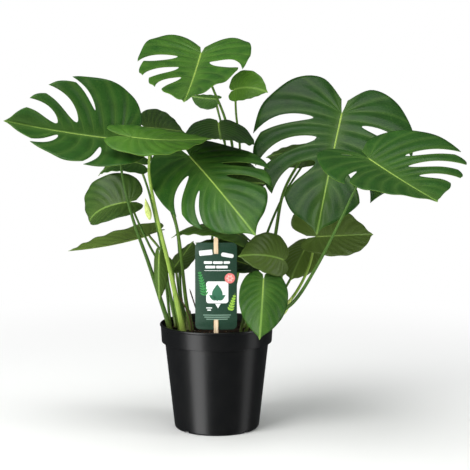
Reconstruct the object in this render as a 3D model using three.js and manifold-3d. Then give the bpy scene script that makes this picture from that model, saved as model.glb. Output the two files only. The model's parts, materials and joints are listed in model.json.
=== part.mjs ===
// A potted monstera: nursery pot, soil, petioles, split leaves and a plant tag.
// Millimetres, +Z up. The origin is the centre of the pot's base.
import * as THREE from 'three';
import { mergeVertices } from 'three/addons/utils/BufferGeometryUtils.js';
import Module from 'manifold-3d';

const wasm = await Module();
wasm.setup();

// ---------------------------------------------------------------- sizes
const GAP = 0.35;            // clearance between pieces that touch
const POT_H = 173;           // pot height
const POT_R = 93.5;          // outer radius of the rim's lip
const LIP_H = 4;             // height of the lip
const LIP_OUT = 1.3;         // how far the lip stands out of the skirt
const SKIRT_H = 31;          // height of the rim's skirt, lip included
const SKIRT_DRAFT = 1.6;     // the skirt narrows this much downwards
const SKIRT_STEP = 5.4;      // step in from the skirt to the body
const BASE_R = 70;           // outer radius at the foot
const WALL = 1.8;            // moulded wall
const FOOT_W = 4;            // width of the foot ring
const FLOOR_Z = 5;           // clear height under the floor
const BOSS_R = 22;           // centre boss that the pot also stands on
const FOOT_NOTCHES = 4;      // drain notches in the foot ring
const NOTCH_W = 11;          // width of a notch
const NOTCH_H = 3.5;         // height of a notch
const DRAINS = 8;            // drain holes in the floor
const DRAIN_R = 4;           // drain hole radius
const POT_SEGMENTS = 40;

const SOIL_BELOW_RIM = 14;   // soil level under the rim
const SOIL_DOME = 4;         // the soil's middle stands higher by this
const ROOT_DEPTH = 16;       // how deep petioles and stems stand in the soil

const LEAF_T = 1.0;          // blade thickness
const VEIN_SWEEP = 0.06;     // how far along the margin the side veins sweep towards the tip
const MOUTH_LEAN = 0.012;    // how far a split's mouth leans towards the tip, along the margin
const FINGER_ROUNDING = 0.10; // how far the finger beyond a split is rounded off
const FINGER_S = 0.1;        // length of margin over which it is rounded off
const NEAR_CUT = 0.05;       // no other line of vertices comes this near to a cut
const PETIOLE_TIP_R = 1.7;   // petiole radius where it meets the blade
const PETIOLE_SIDES = 6;

const CARD_W = 66;           // tag card width
const CARD_H = 139;          // tag card height
const CARD_T = 0.8;          // card thickness
const CARD_CORNER = 7;       // corner radius
const CARD_BOW = 3.5;        // how far the card's sides curve back
const CARD_ABOVE_SOIL = 17;  // lower edge of the card above the soil level
const CARD_WEAVE = 14;       // length over which the card passes the stick
const SLOT_FROM_END = 11.5;  // slot middle from the card's end
const STICK_W = 7;           // wooden stick width
const STICK_T = 1.8;         // stick thickness
const STICK_ABOVE = 9;       // stick above the card
const STICK_DEPTH = 35;      // stick in the soil
const STICK_OFF_WALL = 2.6;  // stick's middle from the pot's inner wall at the stick's tip

// ---------------------------------------------------------------- sizes that follow
const SKIRT_TOP_R = POT_R - LIP_OUT;
const SKIRT_BOTTOM_R = SKIRT_TOP_R - SKIRT_DRAFT;
const SKIRT_Z = POT_H - SKIRT_H;
const BODY_TOP_R = SKIRT_BOTTOM_R - SKIRT_STEP;
const SOIL_Z = POT_H - SOIL_BELOW_RIM;
const SOIL_R = SKIRT_TOP_R - WALL - GAP - SKIRT_DRAFT * SOIL_BELOW_RIM / SKIRT_H;
const POT_SLOPE = (BODY_TOP_R - BASE_R) / SKIRT_Z;
const wallInside = (z) => BASE_R + POT_SLOPE * z - WALL;
const STICK_Y = STICK_OFF_WALL - wallInside(SOIL_Z - STICK_DEPTH);
const CARD_Z0 = SOIL_Z + CARD_ABOVE_SOIL;
const CARD_Z1 = CARD_Z0 + CARD_H;

// ---------------------------------------------------------------- the leaves
// at: where the petiole meets the blade, x and y from the pot's axis, z above the soil.
// heading, pitch and roll turn the blade; left and right are its half widths over its
// length; lobe stretches the basal lobes; bend droops the tip and back the lobes;
// fold and curl turn each half down; twist turns the blade along its midrib.
// cuts: [side, margin place, from, to, half width, mouth], a split when it reaches 1.
const LEAVES = {
  left_wide: {
    at: [-153, -50, 317], length: 189, heading: 197, pitch: 7, roll: -66,
    left: 0.63, right: 0.50, lobe: 0.75, bend: -15, back: -10, foldL: -50, foldR: -9, curl: 0, twist: -13,
    cuts: [
      ['R', 0.74, 0.22, 1, 0.036, 0.030], ['R', 0.61, 0.22, 1, 0.036, 0.024],
      ['R', 0.46, 0.42, 1, 0.012, 0.004],
      ['L', 0.74, 0.22, 1, 0.020, 0.014], ['L', 0.46, 0.36, 1, 0.018, 0.012],
    ],
  },
  left_young: {
    at: [-130, -105, 324], length: 127, heading: 2, pitch: -8, roll: 22,
    left: 0.36, right: 0.44, lobe: 1.24, bend: -15, back: -9, foldL: -3, foldR: 1, curl: 15, twist: -11,
  },
  back_dark: {
    at: [-114, 70, 330], length: 66, heading: 22, pitch: -4, roll: 45,
    left: 0.55, right: 0.41, lobe: 1.00, bend: 10, back: 10, foldL: -19, foldR: -16, curl: -3, twist: -8,
  },
  top: {
    at: [-25, 20, 453], length: 252, heading: -96, pitch: -24, roll: -11,
    left: 0.35, right: 0.37, lobe: 0.78, bend: -15, back: 32, foldL: -22, foldR: -4, curl: -4, twist: 6,
    cuts: [
      ['R', 0.42, 0.34, 1, 0.030, 0.005], ['R', 0.56, 0.30, 1, 0.032, 0.016],
      ['R', 0.69, 0.28, 1, 0.030, 0.018],
      ['L', 0.48, 0.22, 1, 0.048, 0.006],
    ],
  },
  curled: {
    at: [28, 30, 394], length: 67, heading: -49, pitch: 17, roll: 44,
    left: 0.47, right: 0.32, lobe: 0.85, bend: 55, back: 16, foldL: -22, foldR: 33, curl: -5, twist: 0,
  },
  under_top: {
    at: [-3, 85, 378], length: 45, heading: 157, pitch: 2, roll: -30,
    left: 0.47, right: 0.39, lobe: 0.76, bend: -9, back: 9, foldL: 21, foldR: 8, curl: 25, twist: -2,
  },
  dome: {
    at: [3, 32, 340], length: 130, heading: -88, pitch: -14, roll: -3,
    left: 0.48, right: 0.43, lobe: 1.01, bend: -10, back: 8, foldL: 5, foldR: 3, curl: 59, twist: -1,
  },
  centre: {
    at: [-42, -50, 291], length: 203, heading: -64, pitch: -21, roll: 38,
    left: 0.52, right: 0.40, lobe: 1.24, bend: 34, back: 5, foldL: 33, foldR: 0, curl: 6, twist: 15,
    cuts: [
      ['R', 0.46, 0.26, 1, 0.026, 0.018], ['R', 0.60, 0.34, 1, 0.014, 0.008],
      ['L', 0.46, 0.34, 1, 0.022, 0.008], ['L', 0.60, 0.30, 1, 0.026, 0.014],
    ],
  },
  right_wide: {
    at: [208, 72, 354], length: 259, heading: -106, pitch: -42, roll: -3,
    left: 0.49, right: 0.53, lobe: 1.02, bend: 5, back: -5, foldL: 3, foldR: -22, curl: 35, twist: 13,
    cuts: [
      ['R', 0.38, 0.30, 1, 0.026, 0.010], ['R', 0.52, 0.22, 1, 0.034, 0.020],
      ['R', 0.67, 0.24, 1, 0.036, 0.030],
      ['L', 0.38, 0.28, 1, 0.028, 0.008], ['L', 0.67, 0.30, 1, 0.030, 0.024],
    ],
  },
  right_split: {
    at: [237, -105, 290], length: 182, heading: -55, pitch: -21, roll: 53,
    left: 0.68, right: 0.54, lobe: 1.16, bend: -15, back: 45, foldL: 27, foldR: -50, curl: 15, twist: -4,
    cuts: [
      ['L', 0.44, 0.34, 1, 0.026, 0.018], ['L', 0.57, 0.26, 1, 0.032, 0.030],
      ['L', 0.70, 0.32, 1, 0.026, 0.030],
      ['R', 0.16, 0.34, 0.56, 0.018, 0], ['R', 0.44, 0.50, 1, 0.016, 0.012],
    ],
  },
  right_low: {
    at: [164, 10, 155], length: 123, heading: 35, pitch: -2, roll: 34,
    left: 0.51, right: 0.33, lobe: 1.29, bend: 1, back: 25, foldL: -21, foldR: 14, curl: 2, twist: 0,
  },
  right_back: {
    at: [154, 83, 134], length: 95, heading: -111, pitch: -20, roll: -13,
    left: 0.37, right: 0.43, lobe: 0.98, bend: 29, back: 11, foldL: 30, foldR: 22, curl: 30, twist: 7,
  },
  right_fold: {
    at: [106, -61, 127], length: 77, heading: 217, pitch: 22, roll: -58,
    left: 0.40, right: 0.62, lobe: 0.73, bend: 56, back: 12, foldL: 14, foldR: -3, curl: 17, twist: 15,
  },
  front_heart: {
    at: [75, -88, 100], length: 105, heading: -94, pitch: -41, roll: -7,
    left: 0.41, right: 0.38, lobe: 0.80, bend: 30, back: 16, foldL: 14, foldR: 20, curl: 23, twist: 2,
  },
  left_pleat: {
    at: [-141, 0, 213], length: 105, heading: 177, pitch: -5, roll: -56,
    left: 0.30, right: 0.48, lobe: 0.83, bend: 75, back: 9, foldL: -16, foldR: -22, curl: 0, twist: -15,
  },
  left_low: {
    at: [-114, 60, 152], length: 138, heading: 185, pitch: -18, roll: -7,
    left: 0.35, right: 0.39, lobe: 0.80, bend: -15, back: 9, foldL: -16, foldR: -10, curl: -1, twist: 1,
  },
  left_furled: {
    at: [-92, -39, 132], length: 76, heading: -93, pitch: -62, roll: 8,
    left: 0.23, right: 0.17, lobe: 0.70, bend: 26, back: 15, foldL: 36, foldR: 38, curl: 21, twist: 3,
  },
  low_dark: {
    at: [-69, 10, 105], length: 61, heading: 51, pitch: 38, roll: -11,
    left: 0.42, right: 0.47, lobe: 0.88, bend: -2, back: 8, foldL: 2, foldR: 8, curl: 11, twist: 1,
  },
  under_centre: {
    at: [38, -29, 162], length: 121, heading: 170, pitch: 31, roll: 0,
    left: 0.39, right: 0.30, lobe: 1.00, bend: 69, back: 10, foldL: 6, foldR: 1, curl: 26, twist: -5,
  },
  under_left: {
    at: [-123, -10, 276], length: 76, heading: 186, pitch: 18, roll: -13,
    left: 0.43, right: 0.44, lobe: 0.80, bend: 70, back: 14, foldL: 14, foldR: -11, curl: 8, twist: 15,
  },
  behind_tag: {
    at: [56, -33, 113], length: 98, heading: 168, pitch: 15, roll: -27,
    left: 0.49, right: 0.46, lobe: 0.70, bend: -15, back: 9, foldL: -22, foldR: -1, curl: 9, twist: -15,
  },
  behind_centre: {
    at: [0, -5, 237], length: 88, heading: -28, pitch: 15, roll: 53,
    left: 0.54, right: 0.36, lobe: 0.78, bend: 31, back: 18, foldL: -9, foldR: 15, curl: 4, twist: -1,
  },
  behind_right: {
    at: [161, 112, 291], length: 81, heading: 176, pitch: -1, roll: -28,
    left: 0.47, right: 0.44, lobe: 0.92, bend: 20, back: 11, foldL: 15, foldR: 11, curl: 12, twist: -2,
  },
};

// Each leaf's petiole: its foot in the soil, its foot radius and the points it passes,
// with z above the soil.
const PETIOLES = {
  left_wide: {
    foot: [-76, -14], r: 4.4,
    via: [[-88, -18, 45], [-110, -26, 117], [-134, -38, 191], [-150, -46, 265]],
  },
  left_young: {
    foot: [-54, -34], r: 5.2,
    via: [[-72, -48, 99], [-94, -66, 199], [-104, -84, 263], [-106, -100, 308]],
  },
  left_pleat: {
    foot: [-76, 4], r: 2.6,
    via: [[-88, 4, 97], [-110, 4, 141], [-130, 2, 185]],
  },
  left_low: {
    foot: [-68, 20], r: 3.0,
    via: [[-78, 38, 47], [-92, 54, 121]],
  },
  left_furled: {
    foot: [-60, -18], r: 2.6,
    via: [[-68, -32, 58], [-74, -28, 122]],
  },
  low_dark: {
    foot: [-50, 16], r: 3.0,
    via: [[-60, 14, 47]],
  },
  under_left: {
    foot: [-62, 2], r: 3.0,
    via: [[-74, -8, 53], [-92, -14, 153], [-110, -12, 233]],
  },
  back_dark: {
    foot: [-50, 38], r: 3.0,
    via: [[-60, 42, 45], [-68, 54, 166], [-106, 62, 261]],
  },
  centre: {
    foot: [-42, -10], r: 3.8,
    via: [[-50, -10, 51], [-60, -34, 157], [-72, -24, 221], [-66, -38, 260]],
  },
  dome: {
    foot: [2, 18], r: 3.6,
    via: [[8, 34, 147], [16, 43, 290]],
  },
  top: {
    foot: [10, 34], r: 4.4,
    via: [[20, 54, 145], [26, 74, 295], [12, 70, 350], [-8, 52, 400]],
  },
  under_top: {
    foot: [-6, 48], r: 3.0,
    via: [[4, 70, 143], [14, 94, 293]],
  },
  curled: {
    foot: [24, 30], r: 3.0,
    via: [[34, 54, 145], [38, 78, 300], [32, 60, 352]],
  },
  behind_centre: {
    foot: [-14, 26], r: 2.8,
    via: [[-8, 23, 146]],
  },
  under_centre: {
    foot: [22, 4], r: 3.0,
    via: [[30, 26, 67], [42, 32, 120], [46, 16, 146]],
  },
  behind_tag: {
    foot: [40, -22], r: 2.8,
    via: [[50, -18, 54]],
  },
  right_fold: {
    foot: [58, -34], r: 3.0,
    via: [[82, -31, 56], [104, -34, 90]],
  },
  right_back: {
    foot: [66, 14], r: 2.8,
    via: [[98, 36, 40], [132, 64, 92]],
  },
  right_low: {
    foot: [70, -4], r: 3.8,
    via: [[88, 0, 26], [120, 10, 48], [150, 16, 99]],
  },
  right_split: {
    foot: [76, -18], r: 3.8,
    via: [[90, -22, 26], [124, -46, 56], [157, -74, 114], [190, -102, 186], [219, -112, 251]],
  },
  right_wide: {
    foot: [48, 24], r: 4.4,
    via: [[84, 34, 63], [98, 42, 159], [112, 44, 229], [150, 50, 293], [188, 66, 336]],
  },
  behind_right: {
    foot: [50, 44], r: 3.0,
    via: [[70, 80, 107], [110, 112, 207]],
  },
  front_heart: {
    foot: [46, -48], r: 2.8,
    via: [[68, -58, 61], [78, -68, 84]],
  },
};

// Short stems between the petioles, aerial roots and leaf sheaths.
const STEMS = {
  left: { foot: [-44, 4], r: 6.5, height: 34, lean: [-3, 1] },
  back: { foot: [8, 50], r: 6.5, height: 40, lean: [1, 2] },
  right: { foot: [60, -14], r: 6.5, height: 22, lean: [2, 0] },
};
const STEM_TIP_R = 3.5;
const ROOT_R = 1.1;
const AERIAL_ROOTS = {
  left: { foot: [-40, -28], via: [[-44, -32, 30], [-60, -42, 66]] },
  inner: { foot: [-28, -4], via: [[-32, -6, 30], [-44, -14, 72]] },
};
const BUD_R = 5;
const BUD_L = 36;
const BUDS = {
  left: { at: [-104, -74, 192], to: [-113, -86, 240] },
  right: { at: [106, -6, 26], to: [122, -6, 56] },
};

// ---------------------------------------------------------------- helpers
const rad = THREE.MathUtils.degToRad;
const lerp = THREE.MathUtils.lerp;

function hash(name) {
  let h = 7;
  for (const c of name) h = (h * 31 + c.charCodeAt(0)) % 997;
  return h / 997;
}

function geometryOf(positions, index) {
  const g = new THREE.BufferGeometry();
  g.setAttribute('position', new THREE.Float32BufferAttribute(positions, 3));
  g.setIndex(index);
  return g;
}

function toManifold(geometry) {
  const g = geometry.clone();
  g.deleteAttribute('normal');
  g.deleteAttribute('uv');
  const m = mergeVertices(g, 1e-4);
  return new wasm.Manifold(new wasm.Mesh({
    numProp: 3,
    vertProperties: new Float32Array(m.attributes.position.array),
    triVerts: new Uint32Array(m.index.array),
  }));
}

function fromManifold(manifold) {
  const m = manifold.getMesh();
  return geometryOf(Array.from(m.vertProperties), Array.from(m.triVerts));
}

// A solid of revolution about Z from [radius, z] points that start and end on the axis.
function turned(profile, segments) {
  const points = profile.map(([r, z]) => new THREE.Vector2(r, z));
  return new THREE.LatheGeometry(points, segments).rotateX(Math.PI / 2);
}

// A closed solid from an open sheet: both faces lie half a thickness off it.
function thickened(points, triangles, thickness) {
  const normals = points.map(() => new THREE.Vector3());
  const ab = new THREE.Vector3();
  const ac = new THREE.Vector3();
  for (const [a, b, c] of triangles) {
    ab.subVectors(points[b], points[a]);
    ac.subVectors(points[c], points[a]);
    const n = new THREE.Vector3().crossVectors(ab, ac);
    for (const i of [a, b, c]) normals[i].add(n);
  }
  const count = points.length;
  const positions = [];
  for (const sign of [1, -1]) {
    points.forEach((p, i) => {
      const n = normals[i].clone().normalize();
      const q = p.clone().addScaledVector(n, sign * thickness / 2);
      positions.push(q.x, q.y, q.z);
    });
  }
  const index = [];
  const open = new Set();
  for (const [a, b, c] of triangles) {
    index.push(a, b, c, a + count, c + count, b + count);
    for (const [u, v] of [[a, b], [b, c], [c, a]]) {
      if (!open.delete(`${v},${u}`)) open.add(`${u},${v}`);
    }
  }
  for (const edge of open) {
    const [u, v] = edge.split(',').map(Number);
    index.push(v, u, u + count, v, u + count, v + count);
  }
  return geometryOf(positions, index);
}

// A closed tube through points; the first two points keep it upright.
function tube(points, radii, sides) {
  const positions = [];
  const index = [];
  let side = new THREE.Vector3(1, 0, 0);
  points.forEach((p, i) => {
    const a = points[Math.max(0, i - 1)];
    const b = points[Math.min(points.length - 1, i + 1)];
    const t = i < 2 ? points[1].clone().sub(points[0]) : b.clone().sub(a);
    t.normalize();
    side = side.clone().addScaledVector(t, -side.dot(t)).normalize();
    const other = new THREE.Vector3().crossVectors(t, side);
    for (let k = 0; k < sides; k++) {
      const w = 2 * Math.PI * k / sides;
      const q = p.clone().addScaledVector(side, radii[i] * Math.cos(w));
      q.addScaledVector(other, radii[i] * Math.sin(w));
      positions.push(q.x, q.y, q.z);
    }
  });
  const last = (points.length - 1) * sides;
  for (let i = 0; i < points.length - 1; i++) {
    for (let k = 0; k < sides; k++) {
      const a = i * sides + k;
      const b = i * sides + (k + 1) % sides;
      index.push(a, b, b + sides, a, b + sides, a + sides);
    }
  }
  for (let k = 1; k < sides - 1; k++) {
    index.push(0, k + 1, k);
    index.push(last, last + k, last + k + 1);
  }
  return geometryOf(positions, index);
}

// ---------------------------------------------------------------- the blade
// Outline of a half blade of unit length and unit half width, from the sinus round to the tip.
const MARGIN = new THREE.SplineCurve([
  [-0.12, 0.04], [-0.25, 0.32], [-0.18, 0.69], [0.01, 0.93], [0.21, 1.0], [0.41, 0.96],
  [0.58, 0.83], [0.73, 0.62], [0.85, 0.36], [0.94, 0.10], [1.0, 0.0],
].map(([x, y]) => new THREE.Vector2(x, y)));

// The plan of the blade: s runs along the margin, r from the midrib out along a vein.
function planPoint(s, r, lobe) {
  const m = MARGIN.getPoint(s + VEIN_SWEEP * r * r * Math.sin(Math.PI * s));
  const mx = m.x < 0 ? m.x * lobe : m.x;
  const t = Math.max(0, (s - 0.25) / 0.75);
  const root = 0.92 * (0.55 * t + 0.45 * t * t);
  const cx = root + 0.42 * (mx - root) - 0.03 * Math.sin(Math.PI * s);
  const x = (1 - r) ** 2 * root + 2 * r * (1 - r) * cx + r * r * mx;
  const y = 2 * r * (1 - r) * 0.55 * m.y + r * r * m.y;
  return [x, y];
}

// Turns an arc that starts at an angle and bends steadily into how far it reaches and drops.
function arc(start, bend, distance) {
  if (Math.abs(bend) < 1e-4) return [Math.cos(start) * distance, Math.sin(start) * distance];
  const end = start + bend * distance;
  return [(Math.sin(end) - Math.sin(start)) / bend, (Math.cos(start) - Math.cos(end)) / bend];
}

function bladeFrame(leaf) {
  const [az, pi, ro] = [leaf.heading, leaf.pitch, leaf.roll].map(rad);
  const t = new THREE.Vector3(Math.cos(az) * Math.cos(pi), Math.sin(az) * Math.cos(pi), Math.sin(pi));
  const n0 = new THREE.Vector3(-Math.cos(az) * Math.sin(pi), -Math.sin(az) * Math.sin(pi), Math.cos(pi));
  const b0 = new THREE.Vector3().crossVectors(n0, t);
  const b = b0.clone().multiplyScalar(Math.cos(ro)).addScaledVector(n0, Math.sin(ro));
  const n = n0.clone().multiplyScalar(Math.cos(ro)).addScaledVector(b0, -Math.sin(ro));
  const [x, y, z] = leaf.at;
  return { base: new THREE.Vector3(x, y, SOIL_Z + z), t, b, n };
}

function bladePoint(leaf, frame, side, s, r) {
  const [x, y0] = planPoint(s, r, leaf.lobe);
  const y = y0 * (side > 0 ? leaf.left : leaf.right);
  const bend = rad(x < 0 ? leaf.back : leaf.bend);
  const [along, fall] = arc(0, bend, x);
  const angle = bend * x;
  const [out, drop] = arc(rad(side > 0 ? leaf.foldL : leaf.foldR), rad(leaf.curl), y);
  const n = frame.n.clone().multiplyScalar(Math.cos(angle)).addScaledVector(frame.t, Math.sin(angle));
  const tw = rad(leaf.twist) * x;
  const across = frame.b.clone().multiplyScalar(Math.cos(tw)).addScaledVector(n, Math.sin(tw));
  const up = n.clone().multiplyScalar(Math.cos(tw)).addScaledVector(frame.b, -Math.sin(tw));
  const p = frame.t.clone().multiplyScalar(along).addScaledVector(frame.n, -fall);
  p.addScaledVector(across, side * out).addScaledVector(up, -drop);
  return p.multiplyScalar(leaf.length).add(frame.base);
}

// How far a cut's edge lies from its vein at r. The inner end is round. The mouth leans towards
// the tip, so that the finger before it ends in a point.
function cutEdge([, , from, to, width, mouth], r, edge) {
  if (r <= from || (to < 1 && r >= to)) return 0;
  const t = (r - from) / (to - from);
  if (t < 0.5 || to < 1) return edge * width * Math.sqrt(1 - (2 * t - 1) ** 2);
  const wide = Math.cos(Math.PI * (t - 0.5));
  return edge * (mouth + (width - mouth) * wide) + MOUTH_LEAN * (1 - wide);
}

// How far the finger beyond a split is rounded off at r, next to the split's mouth.
function fingerRounding(cuts, s, edge, r) {
  const passed = cuts.filter((c) => c[3] === 1 && (c[1] < s || (c[1] === s && edge > 0)));
  if (!passed.length) return 0;
  const split = passed.reduce((a, b) => (b[1] > a[1] ? b : a));
  const near = Math.max(0, 1 - (s - split[1]) / FINGER_S);
  const outward = Math.max(0, (r - split[2]) / (1 - split[2]));
  return FINGER_ROUNDING * (near * outward) ** 2;
}

const ROWS_SPLIT = [0, 0.2, 0.38, 0.56, 0.78, 1];
const ROWS_WHOLE = [0, 0.35, 0.7, 1];
const PLACES_SPLIT = [0, 0.07, 0.14, 0.22, 0.31, 0.40, 0.55, 0.84, 0.95, 1];
const PLACES_WHOLE = [0, 0.09, 0.2, 0.34, 0.5, 0.67, 0.84, 1];

function blade(leaf) {
  const cuts = leaf.cuts ?? [];
  const rows = cuts.length ? ROWS_SPLIT : ROWS_WHOLE;
  const near = (s) => cuts.some((c) => Math.abs(c[1] - s) < NEAR_CUT && Math.abs(c[1] - s) > 0);
  const plain = (cuts.length ? PLACES_SPLIT : PLACES_WHOLE).filter((s) => !near(s));
  const places = [...new Set([...plain, ...cuts.map((c) => c[1])])].sort((a, b) => a - b);
  const frame = bladeFrame(leaf);
  const points = [];
  const triangles = [];
  const known = new Map();
  const vertex = (key, make) => {
    if (!known.has(key)) {
      known.set(key, points.length);
      points.push(make());
    }
    return known.get(key);
  };
  for (const side of [1, -1]) {
    const mine = cuts.filter((c) => (c[0] === 'L') === (side > 0));
    // One line of vertices from the midrib to the margin, on one edge of a cut.
    const line = (s, edge) => rows.map((r, i) => {
      const cut = mine.find((c) => c[1] === s);
      const shift = cut ? cutEdge(cut, r, edge) : 0;
      let key = `${side},${s},${i},${shift ? edge : 0}`;
      if (i === 0) key = `mid,${Math.max(0.25, s)}`;
      if (s === 1) key = `tip,${i}`;
      const out = r - fingerRounding(mine, s, edge, r);
      return vertex(key, () => bladePoint(leaf, frame, side, s + shift, out));
    });
    for (let k = 0; k < places.length - 1; k++) {
      const a = line(places[k], 1);
      const b = line(places[k + 1], -1);
      for (let i = 0; i < rows.length - 1; i++) {
        for (const tri of [[a[i], b[i], b[i + 1]], [a[i], b[i + 1], a[i + 1]]]) {
          if (new Set(tri).size < 3) continue;
          triangles.push(side > 0 ? tri : [tri[0], tri[2], tri[1]]);
        }
      }
    }
  }
  return thickened(points, triangles, LEAF_T);
}

// ---------------------------------------------------------------- petioles, stems, roots, sheaths
function petiolePoints(name) {
  const leaf = LEAVES[name];
  const { foot: [x, y], via } = PETIOLES[name];
  const frame = bladeFrame(leaf);
  const droop = Math.tan(rad(Math.max(0, leaf.foldL, leaf.foldR)));
  const under = LEAF_T / 2 + GAP + PETIOLE_TIP_R * (1 + droop);
  const end = frame.base.clone().addScaledVector(frame.n, -under);
  const pass = via.map(([vx, vy, vz]) => new THREE.Vector3(vx, vy, SOIL_Z + vz));
  const top = new THREE.Vector3(x, y, SOIL_Z + SOIL_DOME + 2);
  const curve = new THREE.CatmullRomCurve3([top, ...pass, end], false, 'centripetal');
  const steps = 2 * (pass.length + 1) + 1;
  return [new THREE.Vector3(x, y, SOIL_Z - ROOT_DEPTH), ...curve.getSpacedPoints(steps)];
}

function petiole(name) {
  const points = petiolePoints(name);
  const radii = points.map((p, i) => {
    const t = Math.max(0, i - 1) / (points.length - 2);
    return lerp(PETIOLES[name].r, PETIOLE_TIP_R, t ** 0.7);
  });
  return tube(points, radii, PETIOLE_SIDES);
}

function stem({ foot: [x, y], r, height, lean }) {
  const levels = [-ROOT_DEPTH, SOIL_DOME + 1, height * 0.55, height];
  const points = levels.map((z, i) => {
    const k = Math.max(0, i - 1) / 2;
    return new THREE.Vector3(x + lean[0] * k, y + lean[1] * k, SOIL_Z + z);
  });
  return tube(points, [r, r, lerp(r, STEM_TIP_R, 0.3), STEM_TIP_R], 8);
}

function aerialRoot({ foot: [x, y], via }) {
  const levels = [-ROOT_DEPTH, SOIL_DOME + 2].map((z) => new THREE.Vector3(x, y, SOIL_Z + z));
  const points = [...levels, ...via.map(([vx, vy, vz]) => new THREE.Vector3(vx, vy, SOIL_Z + vz))];
  return tube(points, points.map(() => ROOT_R), PETIOLE_SIDES);
}

function spindle({ at, to }) {
  const a = new THREE.Vector3(at[0], at[1], SOIL_Z + at[2]);
  const way = new THREE.Vector3(to[0], to[1], SOIL_Z + to[2]).sub(a).normalize();
  const steps = 6;
  const points = [];
  const radii = [];
  for (let i = 0; i <= steps; i++) {
    const t = i / steps;
    points.push(a.clone().addScaledVector(way, BUD_L * t));
    radii.push(0.6 + (BUD_R - 0.6) * Math.sin(Math.PI * t ** 0.7));
  }
  return tube(points, radii, 8);
}

// ---------------------------------------------------------------- pot and soil
function pot() {
  const floorTop = FLOOR_Z + WALL;
  const shell = toManifold(turned([
    [0, 0], [BOSS_R, 0], [BOSS_R + 1, FLOOR_Z], [BASE_R - FOOT_W, FLOOR_Z], [BASE_R - FOOT_W, 0],
    [BASE_R - 1.5, 0], [BASE_R, 3], [BODY_TOP_R, SKIRT_Z], [SKIRT_BOTTOM_R, SKIRT_Z + 0.8],
    [SKIRT_TOP_R, POT_H - LIP_H], [POT_R, POT_H - LIP_H + 0.8], [POT_R, POT_H - 1], [POT_R - 1, POT_H],
    [SKIRT_TOP_R - WALL, POT_H], [SKIRT_BOTTOM_R - WALL, SKIRT_Z + 1 + WALL],
    [wallInside(SKIRT_Z), SKIRT_Z + WALL], [wallInside(floorTop), floorTop], [0, floorTop],
  ], POT_SEGMENTS));
  const tools = [];
  for (let k = 0; k < FOOT_NOTCHES; k++) {
    const box = new THREE.BoxGeometry(FOOT_W * 3, NOTCH_W, NOTCH_H * 2);
    box.translate(BASE_R - FOOT_W / 2, 0, 0).rotateZ(2 * Math.PI * (k + 0.5) / FOOT_NOTCHES);
    tools.push(toManifold(box));
  }
  const ring = BASE_R - FOOT_W - DRAIN_R - 4;
  for (let k = 0; k < DRAINS; k++) {
    const hole = new THREE.CylinderGeometry(DRAIN_R, DRAIN_R, WALL * 4, 10).rotateX(Math.PI / 2);
    hole.translate(ring, 0, FLOOR_Z + WALL / 2).rotateZ(2 * Math.PI * (k + 0.5) / DRAINS);
    tools.push(toManifold(hole));
  }
  return fromManifold(wasm.Manifold.difference([shell, ...tools]));
}

function bore(x, y, r, depth, sides) {
  const above = 30;
  const hole = new THREE.CylinderGeometry(r, r, depth + above, sides).rotateX(Math.PI / 2);
  return toManifold(hole.translate(x, y, SOIL_Z + (above - depth) / 2));
}

function soil() {
  const inner = (z) => wallInside(z) - GAP;
  const z0 = FLOOR_Z + WALL + GAP;
  const stepZ = SKIRT_Z + WALL + 1 + GAP;
  const body = toManifold(turned([
    [0, z0], [inner(z0), z0], [inner(SKIRT_Z), stepZ], [SKIRT_BOTTOM_R - WALL - GAP, stepZ + 1],
    [SOIL_R, SOIL_Z - 2], [SOIL_R - 3, SOIL_Z + 1], [SOIL_R * 0.6, SOIL_Z + SOIL_DOME * 0.7],
    [SOIL_R * 0.25, SOIL_Z + SOIL_DOME], [0, SOIL_Z + SOIL_DOME * 0.9],
  ], POT_SEGMENTS));
  const tools = [];
  const flat = 1 / Math.cos(Math.PI / PETIOLE_SIDES);
  for (const { foot: [x, y], r } of Object.values(PETIOLES)) {
    tools.push(bore(x, y, (r + GAP) * flat, ROOT_DEPTH + GAP, PETIOLE_SIDES));
  }
  for (const { foot: [x, y], r } of Object.values(STEMS)) {
    tools.push(bore(x, y, (r + GAP) * 1.1, ROOT_DEPTH + GAP, 8));
  }
  for (const { foot: [x, y] } of Object.values(AERIAL_ROOTS)) {
    tools.push(bore(x, y, (ROOT_R + GAP) * flat, ROOT_DEPTH + GAP, PETIOLE_SIDES));
  }
  const slot = new THREE.BoxGeometry(STICK_W + 2 * GAP, STICK_T + 2 * GAP, STICK_DEPTH + 30);
  slot.translate(0, STICK_Y, SOIL_Z + 15 - STICK_DEPTH / 2 - GAP / 2);
  tools.push(toManifold(slot));
  return fromManifold(wasm.Manifold.difference([body, ...tools]));
}

// ---------------------------------------------------------------- tag
// The card passes behind the stick at both ends and in front of it in between.
function cardOffset(z) {
  const clear = (STICK_T + CARD_T) / 2 + GAP + 0.3;
  const fromSlot = Math.min(z - (CARD_Z0 + SLOT_FROM_END), CARD_Z1 - SLOT_FROM_END - z);
  const t = THREE.MathUtils.clamp(0.5 + fromSlot / CARD_WEAVE, 0, 1);
  return lerp(clear, -clear, t * t * (3 - 2 * t));
}

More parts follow.
